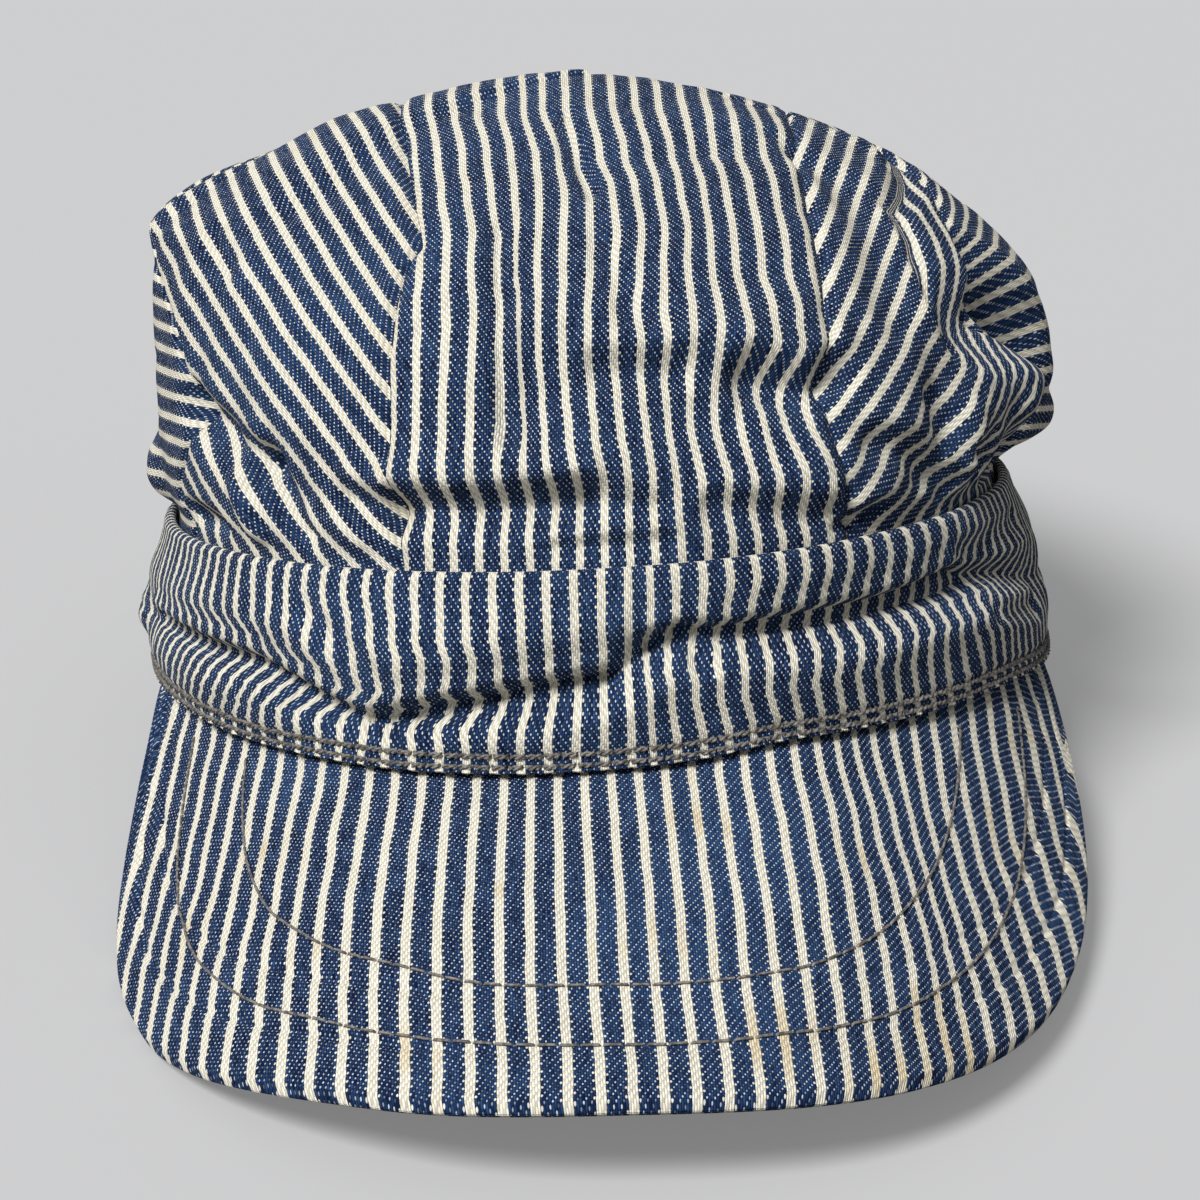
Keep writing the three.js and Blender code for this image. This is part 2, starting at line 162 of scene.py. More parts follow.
# Folds of the solids: places as (turn, rise), width and depth in millimetres, outwards positive
MAIN_FOLDS = [
    dict(path=[(-10, 0.36), (22, 0.30)], width=10.8, depth=-2.8),
    dict(path=[(-14, 0.13), (4, 0.08)], width=7.2, depth=-2.4),
    dict(path=[(-62, 0.72), (-42, 0.61)], width=8.4, depth=-1.6),
    dict(path=[(-64, 0.30), (-38, 0.10)], width=8.4, depth=-2.4),
    dict(path=[(62, 0.78), (45, 0.48)], width=7.2, depth=-2.0),
    dict(path=[(57, 0.44), (74, 0.40)], width=9.6, depth=-5.2),
    dict(path=[(50, 0.33), (44, 0.10)], width=9.6, depth=-2.4),
    dict(path=[(58, 0.13), (74, 0.09)], width=8.4, depth=-3.2),
    dict(path=[(110, 0.35), (150, 0.22)], width=14.4, depth=-2.4),
    dict(path=[(-105, 0.25), (-150, 0.38)], width=14.4, depth=-2.4),
    dict(path=[(165, 0.50), (195, 0.55)], width=15.6, depth=-2.0),
]

# Small folds, which only the cloth here has
STRIP_FOLDS = [
    dict(path=[(-24, 0.12), (-14, 0.11), (-3, 0.13)], width=5.0, depth=-3.0, lip=1.8),
    dict(path=[(-1, 0.39), (8, 0.38)], width=4.2, depth=-2.0, lip=0.8),
    dict(path=[(16, 0.36), (23, 0.32), (27, 0.35)], width=5.0, depth=-3.2, lip=1.4),
    dict(path=[(-12.3, 0.66), (-12, 0.50), (-12, 0.34), (-11, 0.25)], width=2.2, depth=-1.6),
    dict(path=[(-7, 0.90), (-3, 0.82), (-1, 0.75)], width=2.8, depth=-1.6),
    dict(path=[(0, 0.63), (3, 0.52)], width=3.8, depth=-1.1),
    dict(path=[(-6, 0.03), (6, 0.03)], width=3.4, depth=-1.8, lip=0.8),
    dict(path=[(12, 0.10), (26, 0.05)], width=4.4, depth=-1.6, lip=0.8),
    dict(path=[(18, 0.24), (26, 0.14)], width=5.5, depth=1.2),
    dict(path=[(-24, 0.22), (-12, 0.21)], width=6.0, depth=0.6),
    dict(path=[(10, 0.46), (22, 0.47)], width=6.5, depth=1.0),
    dict(path=[(-20, 0.76), (-14, 0.60)], width=5.0, depth=0.7),
    dict(path=[(-5, 0.30), (4, 0.16)], width=5.0, depth=0.9),
]
RIGHT_FOLDS = [
    dict(path=[(30, 0.02), (34, 0.04)], width=3.6, depth=-2.6, lip=0.8),
    dict(path=[(31, 0.20), (36, 0.17), (40, 0.13)], width=3.8, depth=-2.0, lip=0.8),
    dict(path=[(44, 0.10), (48, 0.06)], width=3.2, depth=-2.0),
    dict(path=[(50, 0.14), (55, 0.08)], width=3.2, depth=-2.0),
    dict(path=[(41, 0.28), (44, 0.20), (42, 0.10)], width=3.8, depth=-1.6),
    dict(path=[(47, 0.22), (50, 0.12)], width=4.0, depth=1.5),
    dict(path=[(57, 0.20), (62, 0.08)], width=4.0, depth=-2.0),
    dict(path=[(61, 0.50), (67, 0.43), (72, 0.32), (74, 0.17), (69, 0.05)], width=10.0, depth=-11.0),
    dict(path=[(57, 0.38), (61, 0.26), (58, 0.13)], width=7.0, depth=2.2),
    dict(path=[(84, 0.80), (51, 0.68), (46, 0.57), (44, 0.465), (47, 0.38)], width=2.4, depth=-1.5),
    dict(path=[(86, 0.08), (120, 0.08)], width=9.0, depth=4.4),
    dict(path=[(76, 0.80), (120, 0.80)], width=10.0, depth=1.2),
    dict(path=[(80, 0.93), (140, 0.93)], width=6.0, depth=0.5),
]
LEFT_FOLDS = [
    dict(path=[(-60, 0.30), (-52, 0.24), (-46, 0.19)], width=5.0, depth=-3.2, lip=1.2),
    dict(path=[(-50, 0.24), (-48, 0.12), (-46, 0.04)], width=3.6, depth=1.8),
    dict(path=[(-44, 0.20), (-41, 0.12), (-38, 0.05)], width=4.0, depth=-2.6),
    dict(path=[(-62, 0.05), (-55, 0.04)], width=4.0, depth=-2.4),
    dict(path=[(-30, 0.13), (-24, 0.10)], width=4.4, depth=-2.0, lip=0.8),
    dict(path=[(-57, 0.66), (-52, 0.60)], width=4.4, depth=-1.2),
    dict(path=[(-36, 0.17), (-30, 0.05)], width=4.0, depth=1.0),
    dict(path=[(-120, 0.32), (-84, 0.32)], width=6.0, depth=-2.8),
    dict(path=[(-115, 0.09), (-82, 0.09)], width=9.0, depth=3.0),
    dict(path=[(-50, 0.90), (-130, 0.90)], width=14.0, depth=1.6),
    dict(path=[(-82, 0.70), (-110, 0.72)], width=9.0, depth=2.6),
]

# Small folds of the band: places as (turn, share of its height)
BAND_FOLDS = [
    dict(path=[(-70, 0.46), (-55, 0.44), (-44, 0.41), (-29, 0.22)], width=2.8, depth=-1.6, lip=0.9),
    dict(path=[(-27, 0.21), (-20, 0.29), (-12, 0.35), (-1, 0.42)], width=3.0, depth=-2.2, lip=1.0),
    dict(path=[(4, 0.60), (8, 0.63), (13, 0.58), (34, 0.59), (50, 0.64)], width=3.0, depth=-2.3, lip=0.9),
    dict(path=[(8, 0.64), (10, 0.46)], width=2.4, depth=-1.4),
    dict(path=[(-36, 0.76), (-27, 0.50)], width=3.6, depth=-1.0),
    dict(path=[(52, 0.42), (66, 0.34)], width=3.0, depth=-1.4, lip=0.6),
    dict(path=[(50, 0.76), (68, 0.80)], width=3.4, depth=-1.2),
    dict(path=[(-8, 0.30), (2, 0.36)], width=3.0, depth=-0.7),
    dict(path=[(-120, 0.40), (-80, 0.38)], width=6.0, depth=2.2),
]

# How far the cloth's stripes are drawn sideways, at places across in millimetres
STRIP_PLACES = (-28, -20, -13, -8, -2, 6, 13, 20, 28)
STRIP_DRAWN = [
    dict(rise=0.02, drawn=(0.9, 0.8, 0.7, 0.6, 0.2, 0.0, 0.1, 0.2, 0.0)),
    dict(rise=0.14, drawn=(-0.1, 0.1, 0.1, 0.2, 0.3, 0.0, -0.5, -0.4, -0.5)),
    dict(rise=0.26, drawn=(-0.7, -0.3, 0.1, -0.8, -0.8, -0.6, -1.4, -1.2, -2.4)),
    dict(rise=0.34, drawn=(-0.7, -0.2, -0.5, -1.4, -1.2, -1.0, -1.2, -1.2, -1.2)),
    dict(rise=0.42, drawn=(-0.7, 0.0, -0.7, -1.6, -1.6, -1.1, -1.0, -0.7, 0.1)),
    dict(rise=0.50, drawn=(-0.7, 0.1, -0.4, -1.4, -1.4, -1.5, -0.9, -0.4, 0.3)),
    dict(rise=0.58, drawn=(-0.6, 0.1, -0.8, -1.2, -0.9, -0.8, -1.1, -1.0, -0.4)),
    dict(rise=0.66, drawn=(-0.8, 0.1, -0.7, -1.0, -0.6, -0.1, -0.4, -1.0, -0.6)),
    dict(rise=0.74, drawn=(-1.4, -0.8, -0.9, -0.8, -0.5, -0.7, -1.2, -1.5, -0.9)),
    dict(rise=0.82, drawn=(-2.3, -1.8, -1.5, -1.3, -2.3, -2.0, -2.0, -2.4, -1.7)),
    dict(rise=0.93, drawn=(-3.9, -3.5, -3.2, -3.9, -3.6, -3.4, -3.1, -2.7, -2.3)),
]
BAND_PLACES = (-70, -55, -40, -25, -12, 0, 12, 25, 40, 55, 70)
BAND_DRAWN = [
    dict(share=0.12, drawn=(-6.4, -5.3, -3.6, -1.4, -0.4, 0.0, 0.1, -0.2, -1.0, -1.3, 2.0)),
    dict(share=0.21, drawn=(-4.4, -5.4, -4.9, -1.9, -0.2, 0.0, -0.3, -0.9, -1.5, -1.8, 1.1)),
    dict(share=0.30, drawn=(-2.9, -3.6, -2.5, -0.7, 0.1, 0.0, -0.8, -1.6, -2.1, -2.4, 0.2)),
    dict(share=0.40, drawn=(-2.1, -1.4, -0.2, -0.6, 0.1, 0.0, -0.8, -1.4, -1.3, -2.5, -1.6)),
    dict(share=0.48, drawn=(-3.2, -0.8, -0.8, -0.1, -0.1, 0.0, -1.2, -0.9, 0.0, -0.3, -0.2)),
    dict(share=0.56, drawn=(-2.4, -3.1, -0.9, 0.2, -0.1, 0.1, -0.4, 0.6, 1.7, 1.6, 3.3)),
    dict(share=0.70, drawn=(-6.4, -3.8, -1.8, -1.0, -0.2, 0.0, 0.9, 1.9, 3.6, 6.0, 9.1)),
    dict(share=0.92, drawn=(-7.2, -5.4, -3.6, -1.6, -0.6, 0.1, 1.3, 3.0, 4.8, 7.2, 11.5)),
]
VISOR_PLACES = (-76, -60, -45, -30, -15, 0, 15, 30, 40, 50, 62, 76)
VISOR_DRAWN = [
    dict(out=0.05, drawn=(1.2, -0.4, -1.2, -0.6, -0.2, -0.5, -0.7, -1.3, -3.9, -4.5, -4.0, -3.0)),
    dict(out=0.30, drawn=(0.6, -1.3, -2.3, -1.3, -0.5, -0.2, -0.2, -0.2, -2.5, -5.1, -4.6, -2.0)),
    dict(out=0.50, drawn=(0.0, -2.3, -2.9, -1.7, -0.6, 0.0, 0.1, 0.2, -0.9, -4.2, -4.8, -2.0)),
    dict(out=0.70, drawn=(-1.2, -3.6, -3.0, -1.5, -0.5, 0.0, -0.1, 0.4, -0.1, -2.8, -3.4, -2.2)),
    dict(out=0.90, drawn=(-2.4, -4.0, -2.5, -0.9, 0.0, 0.4, 0.4, 0.1, -0.5, -1.7, -1.6, -0.5)),
]
FIRST_STRIPE = dict(strip=2.31, band=-2.06, visor=-0.70)
TUCKED_STRIPE = -4
TUCK = 1.0

# The side panels: which way their stripes lean at a place, seen from the front or from the side
PANELS = [
    dict(name="crown_left_front_panel", side=-1, front=True, columns=90, lean=-33, row=0.50, column=0.45),
    dict(name="crown_left_back_panel", side=-1, front=False, columns=150, lean=90, row=0.50, column=0.80),
    dict(name="crown_right_front_panel", side=1, front=True, columns=90, lean=33, row=0.45, column=0.30),
    dict(name="crown_right_back_panel", side=1, front=False, columns=150, lean=90, row=0.50, column=0.80),
]
PANEL_ROWS = 120
LEAN_STEPS = 9
FRONT_FOLDED = 0.7
CORNER_TURN = 0.5
PLEAT = [(88, 0.81), (51, 0.68), (46, 0.57), (44, 0.465), (47, 0.38)]
PLEAT_TURN = 26.0
GATHERED = 20.0
FAN_SLOPE = 0.6
FAN_REACH = 12.0

# The camera, level with the rim's own frame
CAMERA_RISE = 11.0
CAMERA_SIDE = 1.0
CAMERA_ROLL = 1.0
CAMERA_AWAY = 474.0
CAMERA_LIFT = 6.3
FRAME_PIXELS = 1200
FOCAL_PIXELS = 2596.0
SENSOR = 36.0


# ---------------------------------------------------------------- curves and waves


def curve_through(places, heights, level=False):
    """A smooth curve through the heights, which never overshoots between two of them."""
    places = np.asarray(places, float)
    heights = np.asarray(heights, float)
    steps = np.diff(heights) / np.diff(places)
    slopes = np.empty_like(heights)
    slopes[0] = steps[0]
    slopes[-1] = 0.0 if level else steps[-1]
    before, after = steps[:-1], steps[1:]
    total = np.where(before * after > 0, before + after, 1.0)
    slopes[1:-1] = np.where(before * after > 0, 2 * before * after / total, 0.0)

    def at(place):
        place = np.clip(place, places[0], places[-1])
        i = np.clip(np.searchsorted(places, place, side="right") - 1, 0, len(places) - 2)
        width = places[i + 1] - places[i]
        t = (place - places[i]) / width
        rest = 1 - t
        return (
            heights[i] * (1 + 2 * t) * rest**2
            + slopes[i] * width * t * rest**2
            + heights[i + 1] * (3 - 2 * t) * t**2
            - slopes[i + 1] * width * t**2 * rest
        )

    return at


def curves_of(table, along, keys):
    """Smooth curves through columns of a table, along one of its other columns."""
    places = [row[along] for row in table]
    return {key: curve_through(places, [row[key] for row in table]) for key in keys}


def drawn_sideways(table, key, places, across, along):
    """How far the stripes of a table are drawn sideways, smoothly between its rows and places."""
    rows = np.array([row[key] for row in table])
    moved = np.stack([curve_through(places, row["drawn"])(across) for row in table])
    along = np.clip(along, rows[0], rows[-1]) + 0 * across
    i = np.clip(np.searchsorted(rows, along, side="right") - 1, 0, len(rows) - 2)
    t = (along - rows[i]) / (rows[i + 1] - rows[i])
    t = t * t * (3 - 2 * t)
    low = np.take_along_axis(moved, i[None], 0)[0]
    high = np.take_along_axis(moved, i[None] + 1, 0)[0]
    return low + (high - low) * t


def bump(share):
    """1 in the middle, 0 from a share of 1 outwards."""
    return np.where(share < 1, (1 - np.minimum(share, 1) ** 2) ** 2, 0.0)


def smooth(low, high, value):
    t = np.clip((value - low) / (high - low), 0, 1)
    return t * t * (3 - 2 * t)


def waves(points, length, seed, count=7):
    """Soft uneven waves through space, about as long as asked for, between -1 and 1."""
    chance = random.Random(seed)
    total = np.zeros(points.shape[:-1])
    for _ in range(count):
        way = np.array([chance.gauss(0, 1) for _ in range(3)])
        way *= 2 * math.pi / (length * chance.uniform(0.7, 1.5)) / np.linalg.norm(way)
        total += np.sin(points @ way + chance.uniform(0, 2 * math.pi))
    return total / math.sqrt(count) / 1.5


def unevenness(points, rows):
    return sum(height * waves(points, length, seed) for height, length, seed in rows)


def unit(ways):
    return ways / np.linalg.norm(ways, axis=-1, keepdims=True)


def run_lengths(points, axis):
    """Lengths along rows or columns of points, from the first one."""
    steps = np.linalg.norm(np.diff(points, axis=axis), axis=-1)
    start = np.zeros_like(np.take(steps, [0], axis=axis))
    return np.concatenate([start, np.cumsum(steps, axis=axis)], axis=axis)


# ---------------------------------------------------------------- shape of the crown


def band_reach(share):
    """The band's outer half widths at a share of its height: left, right, front and back."""
    return (
        RIM_HALF_WIDTH - LEAN_LEFT * share,
        RIM_HALF_WIDTH - LEAN_RIGHT * share,
        RIM_FRONT - LEAN_FRONT * share,
        RIM_BACK - LEAN_BACK * share,
    )


def tucked_section(z):
    """A crown section inside the band, clear of its wall."""
    inset = BAND_WALL + GAP
    low = CROWN_SECTIONS[0]
    reach = (side - inset for side in band_reach(min(z / BAND_HEIGHT, 1)))
    return [z, *reach, low["seam_left"], low["seam_right"]]


def risen_section(row):
    return [
        BAND_HEIGHT + row["rise"] * CROWN_RISE,
        row["left"] * RIM_HALF_WIDTH,
        row["right"] * RIM_HALF_WIDTH,
        row["front"] * RIM_FRONT,
        row["back"] * RIM_BACK,
        row["seam_left"],
        row["seam_right"],
    ]


MOUTH = 1
section_rows = [tucked_section(BAND_HEIGHT - CROWN_TUCK), tucked_section(BAND_HEIGHT + GAP)]
section_rows += [risen_section(row) for row in CROWN_SECTIONS]
TOP = len(section_rows) - 1
crown = {
    key: curve_through(range(TOP + 1), [row[i] for row in section_rows], level=key == "z")
    for i, key in enumerate(["z", "left", "right", "front", "back", "seam_left", "seam_right"])
}
band = curves_of(BAND_SECTIONS, "turn", ("hem", "crease", "sink", "swell"))
strip_side = curves_of(STRIP_EDGES, "rise", ("left", "right"))


def tilt_at(x, z):
    """The right side of the band stands higher, and the tilt fades out towards the crown's top."""
    share = np.where(z < BAND_HEIGHT, z / BAND_HEIGHT, 1 - (z - BAND_HEIGHT) / CROWN_RISE)
    return BAND_TILT * x / RIM_HALF_WIDTH * share


def crown_point(turn, level):
    """Points of the smooth crown, turn degrees round from the front, at levels of the sections."""
    side = np.sin(np.radians(turn))
    ahead = np.cos(np.radians(turn))
    x = side * np.where(side > 0, crown["right"](level), crown["left"](level))
    f = ahead * np.where(ahead > 0, crown["front"](level), crown["back"](level))
    z = crown["z"](level) + 0 * x
    return np.stack([x, f, z + tilt_at(x, z)], -1)


def rise_at(level):
    return (crown["z"](level) - BAND_HEIGHT) / CROWN_RISE


def strip_edge(side, level, at_front):
    """The x of the strip's seams. Behind the top they run straight."""
    straight = STRIP_OFFSET + side * STRIP_WIDTH / 2
    drawn = strip_side["right" if side > 0 else "left"](np.maximum(rise_at(level), 0))
    return np.where(at_front, drawn, straight) - side * SEAM_GAP / 2


def turn_to_reach(x, level):
    reach = np.where(x > 0, crown["right"](level), crown["left"](level))
    return np.degrees(np.arcsin(np.clip(x / np.maximum(reach, GAP), -1, 1)))


def strip_x(share, level, at_front):
    left = strip_edge(-1, level, at_front)
    return left + (strip_edge(1, level, at_front) - left) * share


def strip_line(share, count):
    """One line of the strip from the front mouth over the top to the back mouth."""
    levels = np.linspace(MOUTH, TOP, 4001)
    x = strip_x(share, TOP, True)
    top = levels[(crown["right"] if x > 0 else crown["left"])(levels) > abs(x)][-1]
    levels = top - (top - MOUTH) * (1 - np.linspace(0, 1, 240)) ** 2

    def points(level, at_front):
        turn = turn_to_reach(strip_x(share, level, at_front), level)
        return crown_point(np.where(at_front, turn, 180 - turn), level)

    path = np.concatenate([points(levels, True), points(levels, False)[::-1][1:]])
    run = np.concatenate([levels, 2 * top - levels[::-1][1:]])
    run = np.interp(np.linspace(0, 1, count), run_lengths(path, 0) / run_lengths(path, 0)[-1], run)
    level = np.concatenate([[0], np.where(run > top, 2 * top - run, run), [0]])
    at_front = np.concatenate([[True], run <= top, [False]])
    return points(level, at_front), np.where(at_front, rise_at(level), 2 - rise_at(level))


def panel_points(side, at_front, columns, rows):
    """A side panel, by rows from the band up and columns from the strip's seam to the side seam."""
    seam = crown["seam_right" if side > 0 else "seam_left"]

    def seam_turn(level):
        point = crown_point(side * seam(level), level)
        half = np.degrees(SEAM_GAP / 2 / np.hypot(point[..., 0], point[..., 1]))
        return side * (seam(level) - half if at_front else seam(level) + half)

    def edge_turn(level):
        x = strip_edge(side, level, at_front) + side * SEAM_GAP
        turn = turn_to_reach(x, level)
        return turn if at_front else side * 180 - turn

    levels = np.linspace(MOUTH, TOP, 8001)
    opening = side * (seam_turn(levels) - edge_turn(levels)) * (1 if at_front else -1)
    top = levels[opening > CORNER_TURN][-1]
    level = np.concatenate([[0], np.linspace(MOUTH, top, rows)])[:, None]
    share = np.linspace(0, 1, columns + 1)[None, :]
    turn = edge_turn(level) + (seam_turn(level) - edge_turn(level)) * share
    return crown_point(turn, level + 0 * share)


# ---------------------------------------------------------------- folds


def rolled_out(turn, z):
    """Where points of the crown or band lie on cloth rolled out round the head."""
    return np.stack([np.radians(turn) * RIM_HALF_WIDTH, z + 0 * np.asarray(turn, float)], -1)


def gaps_to_path(places, path):
    """How far places lie from a path, and how far over to its left."""
    away = np.full(places.shape[:-1], np.inf)
    side = np.zeros(places.shape[:-1])
    for start, end in zip(path, path[1:]):
        run = end - start
        share = np.clip((places - start) @ run / (run @ run), 0, 1)
        gap = places - (start + share[..., None] * run)
        length = np.linalg.norm(gap, axis=-1)
        over = (run[0] * gap[..., 1] - run[1] * gap[..., 0]) / np.linalg.norm(run)
        side = np.where(length < away, over, side)
        away = np.minimum(away, length)
    return away, side


def fold_heights(turn, z, folds, low, height):
    """How far the folds move cloth outwards. low and height turn their rises into z."""
    moved = np.zeros(turn.shape)
    for fold in folds:
        turns, rises = np.array(fold["path"], float).T
        near = np.where((turn < 0) & (turns.max() > 180), turn + 360, turn)
        places, path = rolled_out(near, z), rolled_out(turns, low + rises * height)
        moved += fold["depth"] * bump(gaps_to_path(places, path)[0] / fold["width"])
        if "lip" in fold:
            # The cloth above the fold hangs over it
            above = path + [0, 0.9 * fold["width"]]
            moved += fold["lip"] * bump(gaps_to_path(places, above)[0] / fold["width"])
    return moved


def on_crown(points):
    """The turns and untilted heights that crown_point would need for places on the crown."""
    x, f = points[..., 0], points[..., 1]
    z = points[..., 2] - tilt_at(x, points[..., 2])
    levels = np.linspace(0, TOP, 2001)
    level = np.interp(z, crown["z"](levels), levels)
    side = np.maximum(np.where(x > 0, crown["right"](level), crown["left"](level)), GAP)
    ahead = np.maximum(np.where(f > 0, crown["front"](level), crown["back"](level)), GAP)
    return np.degrees(np.arctan2(x / side, f / ahead)), z


def crown_folds(points):
    turn = np.degrees(np.arctan2(points[..., 0] / RIM_HALF_WIDTH, points[..., 1] / RIM_FRONT))
    main = fold_heights(turn, points[..., 2], MAIN_FOLDS, BAND_HEIGHT, CROWN_RISE)
    uneven = unevenness(points, CROWN_UNEVEN)
    free = smooth(BAND_HEIGHT + BAND_TILT, BAND_HEIGHT + 3 * BAND_TILT, points[..., 2])
    turn, z = on_crown(points)
    small = fold_heights(turn, z, STRIP_FOLDS + RIGHT_FOLDS + LEFT_FOLDS, BAND_HEIGHT, CROWN_RISE)
    return (main + uneven) * (0.15 + 0.85 * free) + small * smooth(BAND_HEIGHT, BAND_HEIGHT + 4, z)


def outwards(points):
    """Unit directions from the heart of the crown."""
    return unit(points - np.array([0, 0, CROWN_HEART]))


def seam_sink(away):
    """How far the cloth turns in near a sewn edge."""
    return -SEAM_DEPTH * np.exp(-((away / SEAM_WIDTH) ** 2) * 2.5)


# ---------------------------------------------------------------- shape of the band and the visor


def band_point(turn, share, inset=0.0, out=0.0):
    reach_left, reach_right, reach_front, reach_back = band_reach(share)
    above = (share - band["crease"](turn)) * BAND_HEIGHT
    swell = band["swell"](turn) * BAND_BULGE * np.sin(math.pi * share) ** 2
    # The upper roll hangs over the crease, and the cloth below comes out again faster
    fall = np.clip(1 - np.abs(above) / np.where(above > 0, CREASE_ABOVE, CREASE_BELOW), 0, 1) ** 1.5
    sink = band["sink"](turn) * CREASE_DEPTH * fall * np.sin(math.pi * share)
    out = out + swell - sink - inset
    side = np.sin(np.radians(turn))
    ahead = np.cos(np.radians(turn))
    x = side * (np.where(side > 0, reach_right, reach_left) + out)
    f = ahead * (np.where(ahead > 0, reach_front, reach_back) + out)
    z = BAND_HEIGHT * share
    hem = band["hem"](turn) * BAND_HEIGHT * (1 - share)
    return np.stack([x, f, z + hem + tilt_at(x, z)], -1)


visor_half_width = RIM_HALF_WIDTH * math.sin(math.radians(VISOR_END))
visor_start = RIM_FRONT * math.cos(math.radians(VISOR_END))
visor_slope = math.tan(math.radians(VISOR_SLOPE))
visor_arch = visor_slope * (RIM_FRONT - visor_start) + VISOR_END_DROP


def visor_sheet(x, f):
    """Height of the bent sheet that the visor is cut from."""
    return visor_slope * (RIM_FRONT - f) - visor_arch * np.abs(x / visor_half_width) ** VISOR_CURVE


def visor_edge(across):
    """The visor's outer edge, across from -1 at its left end to 1."""
    angle = np.radians(90 * across)
    power = 2 / VISOR_ROUNDNESS
    x = visor_half_width * np.sign(across) * np.abs(np.sin(angle)) ** power
    x = x - VISOR_BULGE * bump(np.abs(90 * across - VISOR_BULGE_TURN) / 34)
    f = visor_start + (RIM_FRONT + VISOR_LENGTH - visor_start) * np.abs(np.cos(angle)) ** power
    return x, f


def visor_point(across, out):
    """Points of the visor's upper face, out from 0 at the rim to 1 at the edge."""
    root = band_point(across * VISOR_END, 0 * across, BAND_WALL)
    edge_x, edge_f = visor_edge(across)
    x = root[..., 0] + (edge_x - root[..., 0]) * out
    f = root[..., 1] + (edge_f - root[..., 1]) * out
    lift = root[..., 2] - GAP - visor_sheet(root[..., 0], root[..., 1])
    return np.stack([x, f, visor_sheet(x, f) + lift * (1 - out) ** 2], -1)


def visor_normal(points):
    x = points[..., 0]
    share = np.abs(x) / visor_half_width
    steep = VISOR_CURVE * visor_arch * share ** (VISOR_CURVE - 1) / visor_half_width
    return unit(np.stack([np.sign(x) * steep, visor_slope + 0 * x, 1 + 0 * x], -1))


def below_visor(points, depth):
    return points - np.asarray(depth)[..., None] * visor_normal(points)


# ---------------------------------------------------------------- the cap at rest


def resting_tip():
    """The tip that sets the visor's lowest place and the back rim on one level."""
    low = below_visor(visor_point(np.linspace(-1, 1, 37), np.ones(37)), VISOR_THICKNESS)
    return float(np.arctan2(-low[:, 2], low[:, 1] + RIM_BACK).max())


tip = resting_tip()


def tipped(points):
    """Points of the resting cap, before it is moved to the middle, with its front towards -y."""
    along = (points[..., 1] + RIM_BACK) * math.cos(tip) - points[..., 2] * math.sin(tip)
    z = (points[..., 1] + RIM_BACK) * math.sin(tip) + points[..., 2] * math.cos(tip) - FLATTENED
    return np.stack([points[..., 0], RIM_BACK - along, z], -1)


def middle_shift():
    """How far the solids' own box moved the cap."""
    low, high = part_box("visor_top")
    edge = tipped(visor_point(np.linspace(-1, 1, 721), np.ones(721)))
    return np.array([(low[0] + high[0]) / 2 / MM, low[1] / MM - edge[:, 1].min(), 0])


SHIFT = middle_shift()


def settled(points, lift=0.0):
    """Points of the resting cap. Nothing goes below the ground."""
    at = tipped(points) + SHIFT
    at[..., 2] = np.maximum(at[..., 2] + lift, 0)
    return at


# ---------------------------------------------------------------- making pieces


def deselect_all():
    bpy.ops.object.select_all(action="DESELECT")


def only(piece):
    deselect_all()
    piece.select_set(True)
    bpy.context.view_layer.objects.active = piece


def sheet_of_cloth(name, points, cloth):
    """A grid of cloth through rows and columns of settled points, with its own cloth coordinates."""
    deselect_all()
    rows, columns = points.shape[:2]
    bpy.ops.mesh.primitive_grid_add(x_subdivisions=columns - 1, y_subdivisions=rows - 1, size=1)
    piece = bpy.context.object
    piece.name = name
    piece.data.name = name
    place(piece, points)
    if cloth is not None:
        set_cloth(piece.data, cloth)
    return piece


def place(piece, points):
    piece.data.vertices.foreach_set("co", (points * MM).astype(np.float32).ravel())
    piece.data.update()


def corner_vertices(mesh):
    corners = np.empty(len(mesh.loops), np.int32)
    mesh.loops.foreach_get("vertex_index", corners)
    return corners


def set_cloth(mesh, cloth):
    """Writes the cloth's own coordinates, in millimetres of flat cloth, one pair for each vertex."""
    layer = mesh.uv_layers.active
    layer.name = "cloth"
    flat = cloth.reshape(-1, 2)[corner_vertices(mesh)].astype(np.float32)
    layer.uv.foreach_set("vector", flat.ravel())


def get_cloth(mesh):
    flat = np.empty(2 * len(mesh.loops), np.float32)
    mesh.uv_layers.active.uv.foreach_get("vector", flat)
    cloth = np.empty((len(mesh.vertices), 2))
    cloth[corner_vertices(mesh)] = flat.reshape(-1, 2)
    return cloth


def thicken(piece, wall, outside):
    """Gives a sheet its wall on the inner side. outside holds directions that point out of it."""
    mesh = piece.data
    normals = np.empty(3 * len(mesh.vertices), np.float32)
    mesh.vertices.foreach_get("normal", normals)
    if (normals.reshape(-1, 3) * outside.reshape(-1, 3)).sum() < 0:
        mesh.flip_normals()
    only(piece)
    modifier = piece.modifiers.new("Wall", "SOLIDIFY")
    modifier.thickness = wall * MM
    modifier.offset = -1.0
    bpy.ops.object.modifier_apply(modifier=modifier.name)


def close_sheet(piece, reach, open_ends=False):
    """Merges a sheet's edges where they meet, and fills the open ends of a tube."""
    only(piece)
    bpy.ops.object.mode_set(mode="EDIT")
    bpy.ops.mesh.select_all(action="SELECT")
    bpy.ops.mesh.remove_doubles(threshold=reach * MM)
    if open_ends:
        bpy.ops.mesh.select_all(action="SELECT")
        bpy.ops.mesh.region_to_loop()
        bpy.ops.mesh.fill()
        bpy.ops.mesh.select_all(action="SELECT")
    bpy.ops.mesh.normals_make_consistent(inside=False)
    bpy.ops.object.mode_set(mode="OBJECT")


def finish_piece(piece, node, material):
    only(piece)
    bpy.ops.object.shade_smooth_by_angle(angle=math.radians(50))
    piece.data.materials.clear()
    piece.data.materials.append(material)
    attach(piece, "root")
    if node:
        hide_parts(node)


# ---------------------------------------------------------------- shader parts


